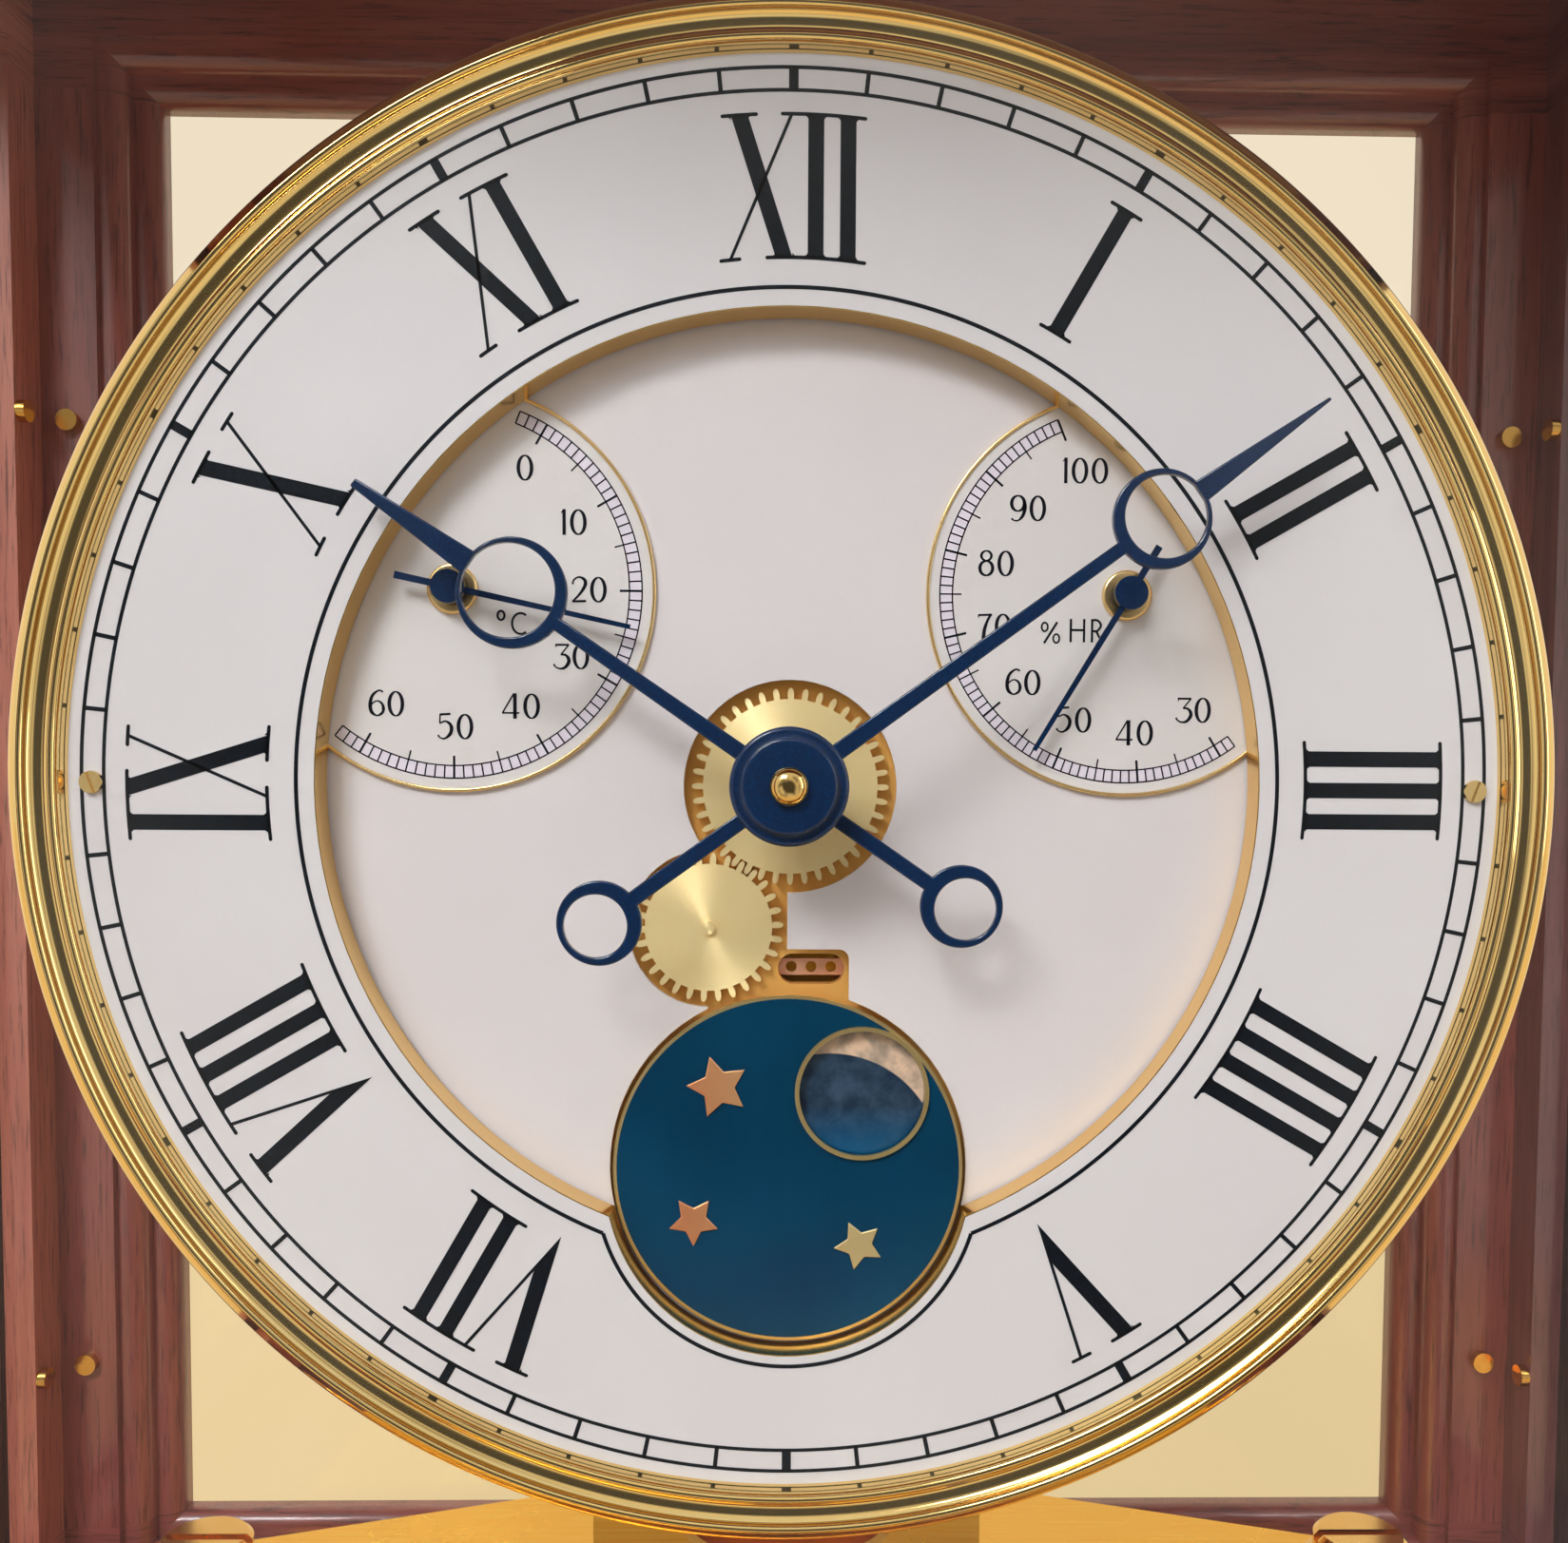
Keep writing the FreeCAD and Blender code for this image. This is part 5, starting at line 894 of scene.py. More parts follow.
class CLOCK_OT_movement(bpy.types.Operator):
    """Finishes the platform, the movement, the bellows drum and the balance"""

    bl_idname = "clock.movement"
    bl_label = "Movement"

    def execute(self, context):
        finish_movement()
        return {"FINISHED"}


class CLOCK_PT_panel(bpy.types.Panel):
    """The settings of the dial and the stage, and a button for each part of the clock"""

    bl_idname = "CLOCK_PT_panel"
    bl_label = "Desk Clock"
    bl_space_type = "VIEW_3D"
    bl_region_type = "UI"
    bl_category = "Desk Clock"

    def draw(self, context):
        for group in (context.scene.clock_dial, context.scene.clock_stage):
            for name in group.bl_rna.properties.keys():
                if name not in ("rna_type", "name"):
                    self.layout.prop(group, name)
        for operator in OPERATORS:
            self.layout.operator(operator.bl_idname)


OPERATORS = (CLOCK_OT_stage, CLOCK_OT_case, CLOCK_OT_bezel, CLOCK_OT_chapter_ring, CLOCK_OT_small_dials,
             CLOCK_OT_hands, CLOCK_OT_wheels, CLOCK_OT_moon, CLOCK_OT_movement)
CLASSES = (DialSettings, StageSettings) + OPERATORS + (CLOCK_PT_panel,)


def register():
    for item in CLASSES:
        bpy.utils.register_class(item)
    bpy.types.Scene.clock_dial = bpy.props.PointerProperty(type=DialSettings)
    bpy.types.Scene.clock_stage = bpy.props.PointerProperty(type=StageSettings)


def unregister():
    del bpy.types.Scene.clock_stage
    del bpy.types.Scene.clock_dial
    for item in reversed(CLASSES):
        bpy.utils.unregister_class(item)


# Stage


def sheet(name, corners, material):
    """A flat part of the stage."""
    mesh = bpy.data.meshes.new(name)
    mesh.from_pydata([upright(*corner) for corner in corners], [], [list(range(len(corners)))])
    mesh.materials.append(material)
    linked(name, mesh)


def make_floor(settings):
    """A shelf under the clock, whose front edge lies just before it, and a wall behind."""
    wide, front, deep, tall = 3000.0, -210.0, 430.0, 2200.0
    shelf = Finish("stage_floor")
    cloud = shelf.add("ShaderNodeTexNoise", {
        "Vector": shelf.place, "Scale": per_mm(300.0), "Detail": 2.0})
    share = shelf.add("ShaderNodeMapRange", {"Value": cloud, "From Min": 0.3, "From Max": 0.7})
    tone = shelf.add("ShaderNodeMix", {
        "Factor": share, "A": settings.floor, "B": "#F0D8A8"}, data_type="RGBA")
    sheet("stage_floor", [(-wide, front, 0), (wide, front, 0), (wide, deep, 0), (-wide, deep, 0)],
          shelf.glowing(tone, 0.0, 0.75, 0.5))
    wall = Finish("stage_wall")
    height = wall.add("ShaderNodeMapRange", {"Value": wall.parts["Z"], "From Max": 0.35})
    tone = wall.add("ShaderNodeMix", {
        "Factor": height, "A": "#F6DEB0", "B": settings.backdrop}, data_type="RGBA")
    sheet("stage_wall", [(-wide, deep, 0), (wide, deep, 0), (wide, deep, tall), (-wide, deep, tall)],
          wall.glowing(tone, 0.5, 1.0, 0.0))


def make_lamps(settings):
    """A large lamp at the upper left and a weak one at the right, both turned to the dial's centre."""
    lamps = (
        ("key_lamp", (-0.47, -0.95, 0.97), (0.5, 0.36), settings.key, "#F6FAFF"),
        ("right_lamp", (1.0, -0.5, 0.5), (0.5, 0.9), settings.key * 0.3, "#FAFBFF"),
    )
    for name, place, size, power, tone in lamps:
        lamp = bpy.data.lights.new(name, "AREA")
        lamp.shape = "RECTANGLE"
        lamp.size, lamp.size_y = size
        lamp.energy = power
        lamp.color = linear(tone)[:3]
        item = linked(name, lamp)
        item.location = place
        item.rotation_mode = "QUATERNION"
        item.rotation_quaternion = (spot(0.0, 0.0, 0.0) - Vector(place)).to_track_quat("-Z", "Y")
        item.visible_camera = False


def make_room(settings):
    """A pale room: patchy before the clock, for the gilding's reflections, and plain to the eye."""
    world = bpy.data.worlds.new("room")
    bpy.context.scene.world = world
    world.use_nodes = True
    nodes = Nodes(world.node_tree)
    way = nodes.add("ShaderNodeTexCoord").outputs["Generated"]
    parts = nodes.add("ShaderNodeSeparateXYZ", {0: way}).outputs
    height = nodes.add("ShaderNodeMapRange", {"Value": parts["Z"], "From Min": -0.2, "From Max": 0.9})
    room = nodes.add("ShaderNodeMix", {
        "Factor": height, "A": "#EEE8DE", "B": "#F0F3F8"}, data_type="RGBA")
    cloud = nodes.add("ShaderNodeTexNoise", {"Vector": way, "Scale": 2.6, "Detail": 1.0})
    patches = nodes.add("ShaderNodeMapRange", {"Value": cloud, "From Min": 0.42, "From Max": 0.6})
    patchy = nodes.add("ShaderNodeMix", {
        "Factor": patches, "A": "#5E5B56", "B": "#E0DACE"}, data_type="RGBA")
    straight_on = nodes.add("ShaderNodeMapRange", {
        "Value": parts["Y"], "From Min": -0.97, "From Max": -0.9, "To Min": 1.0, "To Max": 0.0})
    viewer = nodes.add("ShaderNodeMix", {
        "Factor": straight_on, "A": patchy, "B": "#454442"}, data_type="RGBA")
    ahead = nodes.add("ShaderNodeMapRange", {
        "Value": parts["Y"], "From Min": -0.86, "From Max": -0.55, "To Min": 1.0, "To Max": 0.0})
    light = nodes.add("ShaderNodeBackground", {
        "Color": nodes.add("ShaderNodeMix", {
            "Factor": ahead, "A": room, "B": viewer}, data_type="RGBA"),
        "Strength": nodes.add("ShaderNodeMapRange", {
            "Value": nodes.seen_directly(), "To Min": settings.fill, "To Max": 0.95}),
    })
    level = nodes.add("ShaderNodeMapRange", {
        "Value": parts["Z"], "From Min": -0.02, "From Max": 0.02})
    plain = nodes.add("ShaderNodeBackground", {
        "Color": nodes.add("ShaderNodeMix", {
            "Factor": level, "A": settings.floor, "B": settings.backdrop}, data_type="RGBA"),
        "Strength": 1.0,
    })
    path = nodes.add("ShaderNodeLightPath").outputs
    bounces = nodes.add("ShaderNodeMath", {
        0: path["Glossy Depth"], 1: path["Diffuse Depth"]}, operation="ADD")
    straight = nodes.add("ShaderNodeMath", {0: bounces, 1: 0.5}, operation="LESS_THAN")
    seen = nodes.add("ShaderNodeMixShader", {0: straight, 1: light, 2: plain})
    nodes.add("ShaderNodeOutputWorld", {"Surface": seen})


def make_camera():
    """A wide lens close to the dial, looking a little down on it."""
    lens = bpy.data.cameras.new("camera")
    camera = linked("camera", lens)
    lens.lens, lens.sensor_width = 32.75, 36.0
    lens.shift_x, lens.shift_y = -0.0301, 0.0568
    lens.clip_start, lens.clip_end = 0.01, 20.0
    # Directions on the dial: to the right, up and towards the viewer
    right = Vector((0.999762, 0.006958, 0.020675))
    up = Vector((-0.005883, 0.998651, -0.051599))
    back = Vector((-0.021006, 0.051465, 0.998454))
    to_frame = Matrix(((1, 0, 0), (0, 0, -1), (0, 1, 0)))
    columns = [to_frame @ way for way in (right, up, back)]
    camera.matrix_world = Matrix.Translation(spot(1.0, 0.0, 123.1)) @ Matrix(columns).transposed().to_4x4()
    scene = bpy.context.scene
    scene.camera = camera
    scene.view_settings.view_transform = "Standard"


# Case and bezel


def finish_case():
    # Painted light: the left side frame gets a much lighter copy of the mahogany, and the rear and door
    # frames a somewhat lighter one, standing in for the light that falls on those frames; the right side
    # frame and the boards keep the plain deep tone.
    dress(lacquered_mahogany("faded_mahogany", "#A5503F", "#CB7C66"), "left_side_frame")
    dress(lacquered_mahogany("red_mahogany", "#7A352E", "#A2554A"), "rear_frame", "door_frame")
    dress(lacquered_mahogany("board_mahogany", *DEEP_RED, (0.05, 1.0, 1.0)), "case_base", "case_top")
    dress(lacquered_mahogany("deep_mahogany", *DEEP_RED), "right_side_frame")
    dress(coated_glass(), "door_glass", "side_glasses", "rear_glass")
    dress(polished_gilding("case_fittings", "#EFCB84", "#DDAE5C", 0.16), "case_feet", "door_knob",
          "case_hinge_leaves", "door_hinge_leaves")
    dress(polished_gilding("button_brass", "#E6B968", "#CF9742", 0.18), "frame_pins")


def curve_through(*points):
    """Section points on a smooth curve."""
    return [(x, y, 0) for x, y in smooth_path(points, [0.0] * len(points), 5)[0]]


def make_bezel():
    """A turned ring: inner lip, low bead, broad cove, fine edge, groove and the sloping outer bead."""
    back = (DIAL_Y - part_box("bezel")[1].y) / MM
    seat = (RING_HIGH.x - RING_LOW.x) / 2 / MM + 0.1
    section = rounded(
        [(61.15, 0.02, 0), (61.59, 1.03, 0.05), (61.63, 0.88, 0)]
        + curve_through((61.68, 0.98), (61.80, 1.20), (62.05, 1.32), (62.30, 1.28), (62.42, 1.14))
        + curve_through((62.47, 1.05), (62.75, 0.98), (63.15, 1.02), (63.55, 1.16), (63.82, 1.36))
        + curve_through((63.88, 1.44), (63.94, 1.46), (64.00, 1.42))
        + [(64.05, 1.22, 0), (64.14, 1.20, 0)]
        + curve_through((64.18, 1.36), (64.34, 1.58), (64.62, 1.66), (64.95, 1.52), (65.32, 1.22),
                        (65.66, 0.84), (65.92, 0.44), (66.02, 0.12))
        + [(65.90, back, 0), (seat, back, 0), (seat, 0.02, 0)])
    line = bpy.data.meshes.new("bezel_section")
    count = len(section)
    line.from_pydata([((radius - seat) * MM, height * MM, 0.0) for radius, height in section],
                     [(i, (i + 1) % count) for i in range(count)], [])
    from_tree("turned_bezel", ring_tree(), {
        "Radius": seat * MM,
        "Steps": 480,
        "Centre": spot(0.0, 0.0, 0.0),
        "Finish": polished_gilding("bezel_gilding", "#FFE09A", "#F8CE7C", 0.075, 0.06),
    }, "bezel", 40.0, line)


# Chapter ring

# Along a numeral: half lengths of the serifs, and what a letter takes up to the next
SERIF, THIN_SERIF, SERIF_GAP = 1.42, 0.78, 0.3
I_ADVANCE, V_ADVANCE, X_ADVANCE = 2.93, 6.6, 6.45
# From the thick stroke's head to the V's thin head, the X's thin head and thin foot, and its thick foot
V_HEAD, X_HEAD, X_THIN_FOOT, X_FOOT = 4.55, 4.4, -0.7, 3.8
# The V's tip: outer and inner sides, how far it passes the feet and where its strokes part
V_TIP, V_TIP_BELOW = 2.08, 0.7
V_THICK_PART, V_THIN_PART = (2.62, 3.9), (2.45, 3.0)
# A slanted thick stroke's width as a share of an upright one's
SLANT_SHARE = 1.06
FILLET_WIDTH, FILLET_HEIGHT = 0.32, 0.36
NUMERALS = {0: "XII", 30: "I", 60: "II", 90: "III", 120: "IIII", 150: "V", 210: "VII", 240: "VIII",
            270: "IX", 300: "X", 330: "XI"}


def merged(spans):
    """Serif lines that touch become one line."""
    lines = []
    for start, end in sorted(spans):
        if lines and start - lines[-1][1] < SERIF_GAP:
            lines[-1] = (lines[-1][0], max(lines[-1][1], end))
        else:
            lines.append((start, end))
    return lines


def numeral_parts(word, settings):
    """A numeral's letters with their places, its serifs at head and foot, and the centring shift."""
    letters, head, foot = [], [], []
    x = 0.0
    for letter, following in zip(word, word[1:] + " "):
        letters.append((letter, x))
        head.append((x - SERIF, x + SERIF))
        if letter == "I":
            foot.append((x - SERIF, x + SERIF))
            x += settings.bar_pitch if following == "I" else I_ADVANCE
        elif letter == "V":
            head.append((x + V_HEAD - THIN_SERIF - 0.1, x + V_HEAD + THIN_SERIF))
            x += V_ADVANCE
        else:
            head.append((x + X_HEAD - THIN_SERIF, x + X_HEAD + THIN_SERIF))
            foot += [(x + X_THIN_FOOT - THIN_SERIF, x + X_THIN_FOOT + THIN_SERIF),
                     (x + X_FOOT - SERIF, x + X_FOOT + SERIF)]
            x += X_ADVANCE
    low = min(start for start, _ in head + foot)
    high = max(end for _, end in head + foot)
    return letters, merged(head), merged(foot), -(low + high) / 2


def print_numeral(shape, word, angle, settings):
    letters, head, foot, shift = numeral_parts(word, settings)
    inner, outer = settings.numeral_inner, settings.numeral_outer
    bar, hair = settings.bar_width, settings.hairline
    slanted = bar * SLANT_SHARE

    def on_arc(x, radius):
        return (x + shift, math.sqrt(radius ** 2 - (x + shift) ** 2))

    def stroke(*points):
        shape.prism(turned_by([on_arc(*point) for point in points], angle), 0.0, INK_HEIGHT)

    def slant(top, bottom, width):
        half = width / 2
        stroke((bottom - half, inner), (bottom + half, inner), (top + half, outer), (top - half, outer))

    def brackets(x, width, radius, sign):
        """The small fillets between a thick stroke and its serif."""
        for side in (-1, 1):
            edge = x + side * width / 2
            corner = [(edge, radius), (edge + side * FILLET_WIDTH, radius),
                      (edge, radius + sign * FILLET_HEIGHT)]
            stroke(*(corner if side * sign < 0 else corner[::-1]))

    for letter, x in letters:
        if letter == "I":
            slant(x, x, bar)
            brackets(x, bar, outer, -1)
            brackets(x, bar, inner, 1)
        elif letter == "X":
            slant(x, x + X_FOOT, slanted)
            slant(x + X_HEAD, x + X_THIN_FOOT, hair)
            brackets(x, slanted, outer, -1)
            brackets(x + X_FOOT, slanted, inner, 1)
        else:
            tip = inner - V_TIP_BELOW
            stroke((x + V_TIP, tip), (x + V_THICK_PART[0], tip + V_THICK_PART[1]), (x + slanted / 2, outer),
                   (x - slanted / 2, outer))
            stroke((x + V_TIP, tip), (x + V_HEAD + hair / 2, outer), (x + V_HEAD - hair / 2, outer),
                   (x + V_THIN_PART[0], tip + V_THIN_PART[1]))
            brackets(x, slanted, outer, -1)
    for spans, radius in ((head, outer), (foot, inner)):
        for span in spans:
            first, last = (math.degrees(math.asin((edge + shift) / radius)) for edge in span)
            shape.band(CENTRE, radius - hair / 2, radius + hair / 2, 0.0, INK_HEIGHT, angle + first,
                       last - first, 10)
            for edge in (first, last):
                end = [(hair / 2, 0.0), (hair / 2, INK_HEIGHT), (0.0, INK_HEIGHT)]
                shape.lathe(polar(angle + edge, radius), end, 10, ring=False)


def along_opening(shape, radius, notch, width, low, high):
    """A band that follows the ring's opening and then the notch round the moon."""
    reach = math.degrees(math.acos((radius ** 2 + MOON_UP ** 2 - notch ** 2) / (2 * radius * -MOON_UP)))
    x, y = polar(180 - reach, radius)
    corner = math.degrees(math.atan2(x, y - MOON_UP))
    half = width / 2
    shape.band(CENTRE, radius - half, radius + half, low, high, 180 + reach, FULL_TURN - 2 * reach, 330)
    shape.band((0.0, MOON_UP), notch - half, notch + half, low, high, corner, FULL_TURN - 2 * corner, 150)


def print_chapter_ring(settings):
    dress(satin_lacquer("ring_lacquer", settings.face, "#CFC8CA"), "chapter_ring")
    dress(satin_lacquer("plate_lacquer", settings.plate, "#D2C9CA"), "main_dial_plate")
    dress(satin_gilding("rim_gilding", "#F2C878", "#E3B05C", 0.25), "chapter_rim", "dial_seat_ring")
    dress(polished_gilding("dial_screw_gilding", "#F6DCA0", "#E8C07C", 0.2), "dial_screws")
    ink = dial_ink()
    numerals = Shape()
    for angle, word in NUMERALS.items():
        print_numeral(numerals, word, angle, settings)
    numerals.piece("hour_numerals", ink, "case", slot="chapter_ring")
    lines = Shape()
    track = (settings.track_inner, settings.track_outer)
    half, border_width, notch_border = 0.15, 0.34, 16.75
    for radius in track:
        lines.band(CENTRE, radius - half, radius + half, 0.0, INK_HEIGHT, steps=360)
    along_opening(lines, settings.border, notch_border, border_width, 0.0, INK_HEIGHT)
    lines.piece("track_lines", ink, "case", slot="chapter_ring")
    lining = Shape()
    opening, notch, thick, behind, before = 40.44, 15.84, 0.1, -3.1, -0.02
    along_opening(lining, opening, notch, thick, behind, before)
    lining.piece("opening_lining", polished_gilding("lining_gilding", "#F6D084", "#EBBD66", 0.2), "case",
                 slot="chapter_rim")
    scale_marks("minute_marks", CENTRE, 0.0, (60, 0.0, 6.0), track, 0.37, ink, 5, 0)
    scale_marks("hour_marks", CENTRE, 0.0, (12, 0.0, 30.0), track, 0.8, ink)


# Small dials

# Glyphs in hundredths of the digit's height: advance, loops (x, y, half width, half height, side and top
# strokes) and pen strokes (points and widths)
GLYPHS = {
    "0": (79.5, [(32, 50, 26, 47.5, 12.5, 5)], []),
    "1": (36, [], [
        ([(12, 0), (12, 100)], [11.5, 11.5]),
        ([(0, 86), (13, 99)], [3, 7]),
    ]),
    "2": (74, [], [
        ([(5, 70), (8, 86), (28, 99), (50, 90), (55, 74), (48, 55), (30, 30), (4, 3)],
         [6, 6, 6, 11, 12.5, 11, 8, 6]),
        ([(2, 3), (57, 5)], [7, 8]),
    ]),
    "3": (77, [], [
        ([(8, 96), (62, 96)], [7, 7]),
        ([(10, 97), (10, 86)], [4, 3]),
        ([(62, 97), (30, 57)], [5, 5]),
        ([(30, 57), (48, 56), (60, 42), (60, 25), (45, 6), (25, 2), (8, 10), (2, 20)],
         [5, 8, 12, 12.5, 10, 6, 5, 7]),
    ]),
    "4": (85, [], [
        ([(51, 0), (51, 101)], [12.5, 12.5]),
        ([(47, 100), (2, 24)], [6, 5]),
        ([(0, 23), (68, 23)], [6, 6]),
    ]),
    "5": (77, [], [
        ([(9, 97), (52, 100)], [8, 8]),
        ([(11, 98), (10, 62)], [5, 5]),
        ([(10, 62), (30, 71), (48, 62), (56, 44), (50, 20), (30, 3), (12, 5), (2, 16)],
         [5, 6, 10, 12.5, 12, 7, 5, 7]),
    ]),
    "6": (74, [], [
        ([(56, 96), (39, 102), (14, 82), (5, 48), (10, 18), (31, 3), (52, 14), (57, 32), (50, 52),
          (33, 61), (15, 52), (8, 42)], [6, 6, 10, 12.5, 12, 6, 9, 11, 8, 5, 5, 5]),
    ]),
    "7": (67, [], [
        ([(0, 94), (55, 96)], [7, 8]),
        ([(1, 96), (1, 84)], [5, 3]),
        ([(51, 96), (39, 77), (26, 40), (21, 0)], [7, 9, 12, 13]),
    ]),
    "8": (74, [(29, 80, 20, 19, 9, 5), (29, 31, 25.5, 28.5, 11.5, 6)], []),
    "9": (76, [(29, 69, 25.5, 30, 12, 5)], [
        ([(54, 75), (57, 50), (48, 20), (30, 2), (12, 3), (4, 10)], [12, 12.5, 11, 6, 5, 7]),
    ]),
}
DIGIT_HEIGHT = 2.2
THERMOMETER_LABELS = {"0": (6.27, 10.5), "10": (10.46, 5.88), "20": (11.77, 0.08), "30": (10.2, -5.73),
                      "40": (5.8, -10.08), "50": (0.1, -11.9), "60": (-5.85, -9.96)}
HYGROMETER_LABELS = {"100": (-3.8, 10.8), "90": (-8.77, 7.5), "80": (-11.5, 2.7), "70": (-11.6, -2.77),
                     "60": (-9.0, -7.65), "50": (-4.5, -10.9), "40": (0.88, -12.0), "30": (6.08, -9.96)}
UNIT_STROKE = 0.2
INK_SPREAD = 1.15


def loop_path(x, y, half_width, half_height, side, top):
    """A closed pen stroke round an ellipse, thick at its sides."""
    steps = 28
    turns = [math.radians(FULL_TURN * i / steps) for i in range(steps)]
    path = [(x + half_width * math.cos(turn), y + half_height * math.sin(turn)) for turn in turns]
    return path, [top + (side - top) * abs(math.cos(turn)) for turn in turns]


def print_number(shape, text, centre):
    """Prints a number centred on a point."""
    pen = 0.0
    strokes = []
    for letter in text:
        advance, loops, curves = GLYPHS[letter]
        for x, *rest in loops:
            strokes.append((*loop_path(pen + x, *rest), True))
        for points, widths in curves:
            placed = [(pen + x, y) for x, y in points]
            if len(points) > 2:
                placed, widths = smooth_path(placed, widths)
            strokes.append((placed, widths, False))
        pen += advance
    left = min(x - width / 2 for path, widths, _ in strokes for (x, _), width in zip(path, widths))
    right = max(x + width / 2 for path, widths, _ in strokes for (x, _), width in zip(path, widths))
    middle = (left + right) / 2
    size = DIGIT_HEIGHT / 100
    for path, widths, closed in strokes:
        placed = [(centre[0] + (x - middle) * size, centre[1] + (y - 50) * size) for x, y in path]
        shape.ribbon(placed, [width * size * INK_SPREAD for width in widths], 0.0, INK_HEIGHT, closed)


def print_line(shape, *points):
    shape.ribbon(points, [UNIT_STROKE] * len(points), 0.0, INK_HEIGHT)


def print_degrees(shape):
    """A raised ring and a C."""
    shape.ribbon(*loop_path(4.14, -2.22, 0.30, 0.39, UNIT_STROKE, UNIT_STROKE), 0.0, INK_HEIGHT, True)
    x, up, wide, tall, opening, steps = 5.85, -2.91, 0.75, 0.90, 52, 24
    turns = [math.radians(opening + (FULL_TURN - 2 * opening) * i / steps) for i in range(steps + 1)]
    print_line(shape, *[(x + wide * math.cos(turn), up + tall * math.sin(turn)) for turn in turns])


def print_humidity(shape):
    """A per cent sign, an H and an R."""
    for x, y in ((-7.15, -2.78), (-6.12, -3.78)):
        shape.ribbon(*loop_path(x, y, 0.27, 0.38, 0.16, 0.16), 0.0, INK_HEIGHT, True)
    top, foot, bar = -2.06, -4.1, -3.03
    left, right, stem = -4.85, -3.675, -2.975
    print_line(shape, (-7.2, -4.2), (-6.05, -2.35))
    print_line(shape, (left, top), (left, foot))
    print_line(shape, (right, top), (right, foot))
    print_line(shape, (left, bar), (right, bar))
    print_line(shape, (stem, top), (stem, foot))
    bowl = [(stem, top - 0.1), (-2.5, top - 0.12), (-2.2, -2.6), (-2.5, -3.08), (stem, -3.1)]
    print_line(shape, *smooth_path(bowl, [UNIT_STROKE] * len(bowl))[0])
    print_line(shape, (-2.62, -3.1), (-2.08, foot))


# First angle and degrees for each unit, number of units, the first unit, number and first angle of the tens
# and of the fives, the labels and the unit's sign
SCALES = {
    "thermometer": (21.0, 3.0, 67, 7, (7, 30.0), (6, 45.0), THERMOMETER_LABELS, print_degrees),
    "hygrometer": (337.5, -2.7, 73, 0, (8, 337.5), (7, 324.0), HYGROMETER_LABELS, print_humidity),
}


def make_small_dials():
    dress(satin_lacquer("small_dial_lacquer", "#D6CFCD", "#D0C8C7"), "thermometer_dial", "hygrometer_dial")
    trims = Shape()
    rim, rim_width, rim_height, bush, bush_bore, bush_height = 17.3, 0.32, 0.5, 2.2, 0.6, 0.85
    low = SMALL_DIAL_OUT - 0.3
    for centre in SMALL_DIALS.values():
        top = low + rim_height
        trims.lathe(centre, rounded([(rim, low, 0), (rim, top, 0.16), (rim + rim_width, top, 0.16),
                                     (rim + rim_width, low, 0)]))
        top = low + bush_height
        trims.lathe(centre, rounded([(bush_bore, low, 0), (bush, low, 0), (bush, top, 0.3),
                                     (bush_bore, top, 0)]), 72)
    trims.piece("small_dial_trims", satin_gilding("trim_gilding", "#F8DCA4", "#EFC88A", 0.22), "case",
                replaces="subdial_trims")
    dress(hand_enamel("pointer_enamel"), "thermometer_pointer", "hygrometer_pointer")
    ink = dial_ink("fine_ink", "#0A0A14", "#1A1626")
    tint = satin_lacquer("scale_tint", "#DAD0DA", "#D5CAD6")
    inner, outer, tens_foot, fives_foot, half = 15.3, 16.4, 14.45, 14.5, 0.06
    for label, (first, step, units, number, tens, fives, words, print_unit) in SCALES.items():
        centre = SMALL_DIALS[label]
        dial = label + "_dial"

        def on_dial(x, up, out):
            return spot(centre[0] + x, centre[1] + up, SMALL_DIAL_OUT + out)

        sweep = step * (units - 1)
        start = first if step > 0 else first + sweep
        cells = Shape(on_dial)
        cells.band(CENTRE, inner, outer, 0.0, INK_HEIGHT / 3, start, abs(sweep), 120)
        cells.piece(label + "_scale_tint", tint, "case", slot=dial)
        prints = Shape(on_dial)
        for radius in (inner, outer):
            prints.band(CENTRE, radius - half, radius + half, 0.0, INK_HEIGHT, start, abs(sweep), 120)
        for word, place in words.items():
            print_number(prints, word, place)
        print_unit(prints)
        prints.piece(label + "_print", ink, "case", slot=dial)
        marks = (("units", (units, first, step), (inner, outer), 0.13, 10, number),
                 ("tens", (*tens, step * 10), (tens_foot, outer), 0.2, NEVER, 1),
                 ("fives", (*fives, step * 10), (fives_foot, inner), 0.13, NEVER, 1))
        for kind, angles, radii, width, left_out, count_from in marks:
            scale_marks(label + "_" + kind, centre, SMALL_DIAL_OUT, angles, radii, width, ink,
                        left_out, count_from)


# Hands


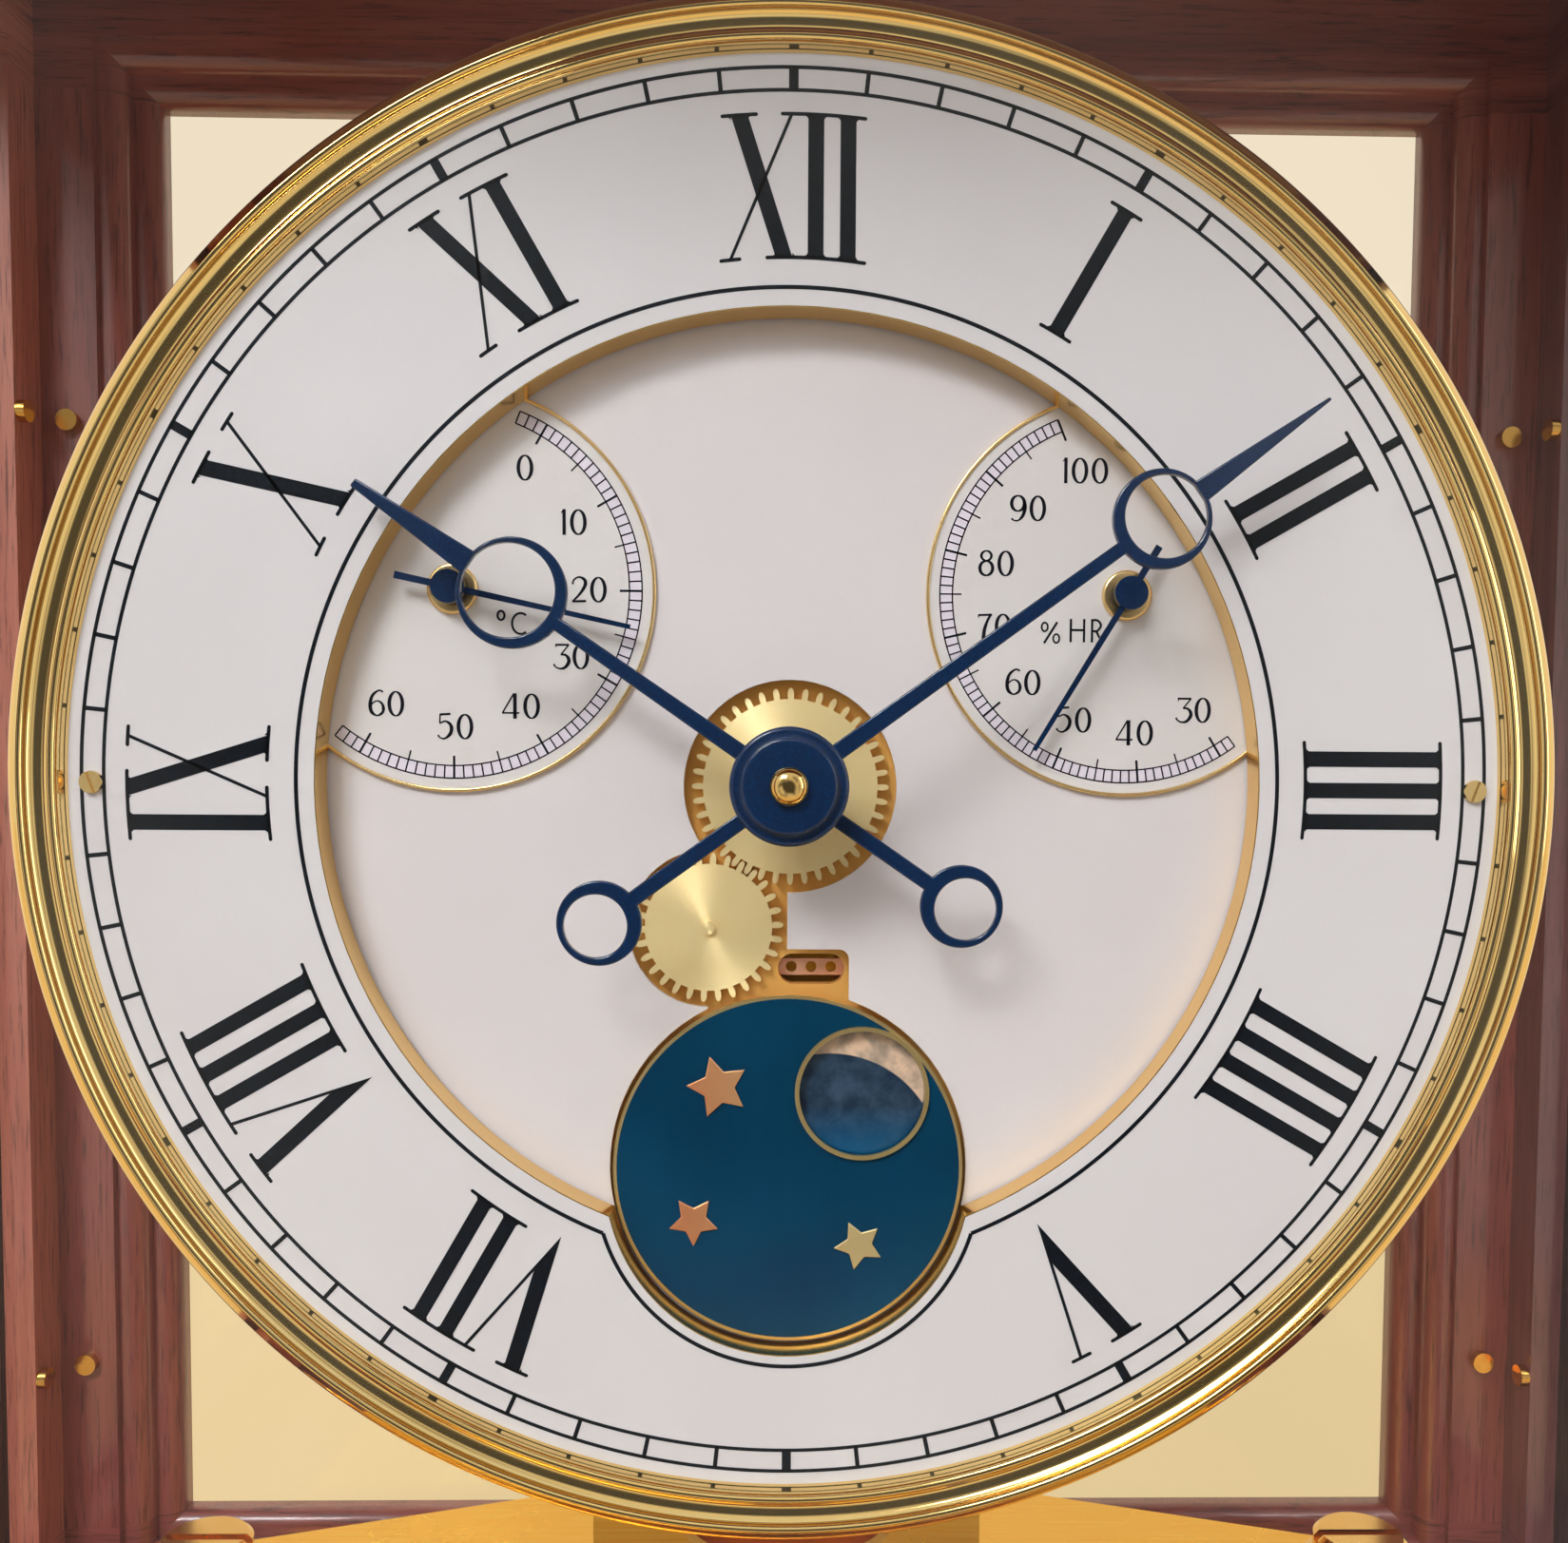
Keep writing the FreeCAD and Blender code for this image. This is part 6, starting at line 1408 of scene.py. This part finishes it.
def make_hand(name, body, material, angle, low, sizes, hub):
    """A hand with rounded edges: arm, ring, point and ringed tail in one plane, and a turned hub."""
    ring_at, ring, hole, shift, root, tip, tip_width, tail_at, tail, tail_hole, arm = sizes

    def on_hand(x, up, out):
        (painted_reflection_share, along), = turned_by([(x, up)], angle)
        return spot(painted_reflection_share, along, low + out)

    thick, overlap = 0.8, 0.3
    half, wide, narrow = arm / 2, arm / 2 * 1.15, arm / 2 * 0.85
    foot, point, sunk_in = root / 2, tip_width / 2, 0.25
    arm_end, tail_end = ring_at - ring + overlap, -tail_at + tail - overlap
    start = ring_at + math.sqrt(ring ** 2 - foot ** 2) - sunk_in
    flat = Shape(on_hand)
    flat.prism([(-wide, 0), (wide, 0), (narrow, arm_end), (-narrow, arm_end)], 0.0, thick)
    flat.prism([(-half, tail_end), (half, tail_end), (half, 0), (-half, 0)], 0.0, thick)
    flat.band((0.0, ring_at), hole, ring, 0.0, thick, hole=(0.0, ring_at + shift), steps=120)
    flat.band((0.0, -tail_at), tail_hole, tail, 0.0, thick, hole=(0.0, -tail_at - shift), steps=96)
    flat.prism([(-foot, start), (foot, start), (point, tip), (-point, tip)], 0.0, thick)
    flat.piece(name + "_plate", material, body, bevel=0.14, slot=name, replaces=name)
    turned = Shape(on_hand)
    turned.lathe(CENTRE, rounded(hub), 160)
    turned.piece(name + "_hub", material, body, sharp=50.0, slot=name)


def make_hands():
    enamel = hand_enamel("hand_enamel")
    bore = 2.14
    make_hand("hour_hand", "hour", enamel, 304.5, 2.4,
              (28.0, 4.6, 3.9, 0.39, 2.1, 43.7, 0.75, 17.6, 3.5, 2.6, 1.3),
              [(bore, 0.0, 0), (4.7, 0.0, 0.1), (4.7, 1.6, 0.35), (bore, 1.6, 0)])
    bore = 1.34
    make_hand("minute_hand", "minute", enamel, 54.0, 5.0,
              (37.4, 4.07, 3.39, 0.39, 1.9, 54.1, 0.28, 19.2, 3.5, 2.6, 1.3),
              [(bore, 0.0, 0), (4.9, 0.0, 0.15), (4.9, 1.6, 0.55), (4.0, 1.6, 0.0), (3.95, 1.62, 0.0),
               (3.95, 2.4, 0.3), (bore, 2.4, 0)])
    nut = Shape()
    nut.lathe(CENTRE, [(0.0, 7.4), (1.6, 7.4), (1.6, 7.75), (1.5, 8.1), (1.22, 8.42), (0.8, 8.6),
                       (0.42, 8.68), (0.0, 8.7)], 48, ring=False)
    nut.piece("domed_nut", polished_gilding("nut_brass", "#F5D592", "#E2B564", 0.1), "minute", sharp=50.0,
              replaces="hand_nut")


# Wheels, moon and movement

# Place, radius and turn of each star, and its waist as a share of its radius
STARS = ((-6.22, -26.55, 2.85, -15.8), (-8.37, -38.55, 2.3, 36.3), (6.33, -40.72, 2.28, -24.7))
WAIST_SHARE = 0.51


def finish_wheels():
    dress(turned_brass("moon_drive_brass", 0.0, 0.0), "moon_driving_wheel")
    low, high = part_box("idler_wheel")
    idler_up = ((low.z + high.z) / 2 - AXIS_Z) / MM
    dress(turned_brass("idler_brass", (low.x + high.x) / 2 / MM, idler_up), "idler_wheel")
    dress(satin_gilding("strip_gilding", "#F2C2A4", "#E3A686", 0.5, 0.6), "three_hole_strip")


def make_moon():
    dress(sky_lacquer(), "moon_disc")
    dress(satin_gilding("moon_ring_gilding", "#FBE3A8", "#F3CF88", 0.3), "moon_rings")
    dress(moon_picture(), "moon_phase_plate")
    stars = Shape()
    for x, up, radius, turn in STARS:
        corners = [polar(turn - 36.0 * i, radius * (WAIST_SHARE if i % 2 else 1.0)) for i in range(10)]
        stars.prism([(x + painted_reflection_share, up + along) for painted_reflection_share, along in corners], MOON_OUT, MOON_OUT + 0.2)
    stars.piece("raised_stars", star_gilding(), "moon", bevel=0.15, replaces="moon_stars")


def finish_movement():
    dress(brushed_gilding(), "platform", "floor_plate", "movement_front_plate", "movement_back_plate")
    dress(satin_gilding("recess_gilding", "#FFC870", "#F4B056", 0.5, 0.65), "dial_train_plate")
    dress(polished_gilding("screw_gilding", "#F2CD86", "#DDA650", 0.12), "platform_screws",
          "movement_pillars", "dial_spacers", "mainspring_barrel", "cannon_pinion", "minute_wheel",
          "hour_wheel", "month_wheel", "moon_wheel", "centre_wheel", "escape_wheel", "bellows_drum",
          "balance_wheel", "spirit_level")
    dress(grained_steel(), "platform_pillars", "lock_lever", "pallet_fork", "suspension_bracket",
          "torsion_wire", "sensor_capsules")


def main():
    register()
    for step in ("stage", "case", "bezel", "chapter_ring", "small_dials", "hands", "wheels", "moon",
                 "movement"):
        getattr(bpy.ops.clock, step)()


if __name__ == "__main__":
    main()
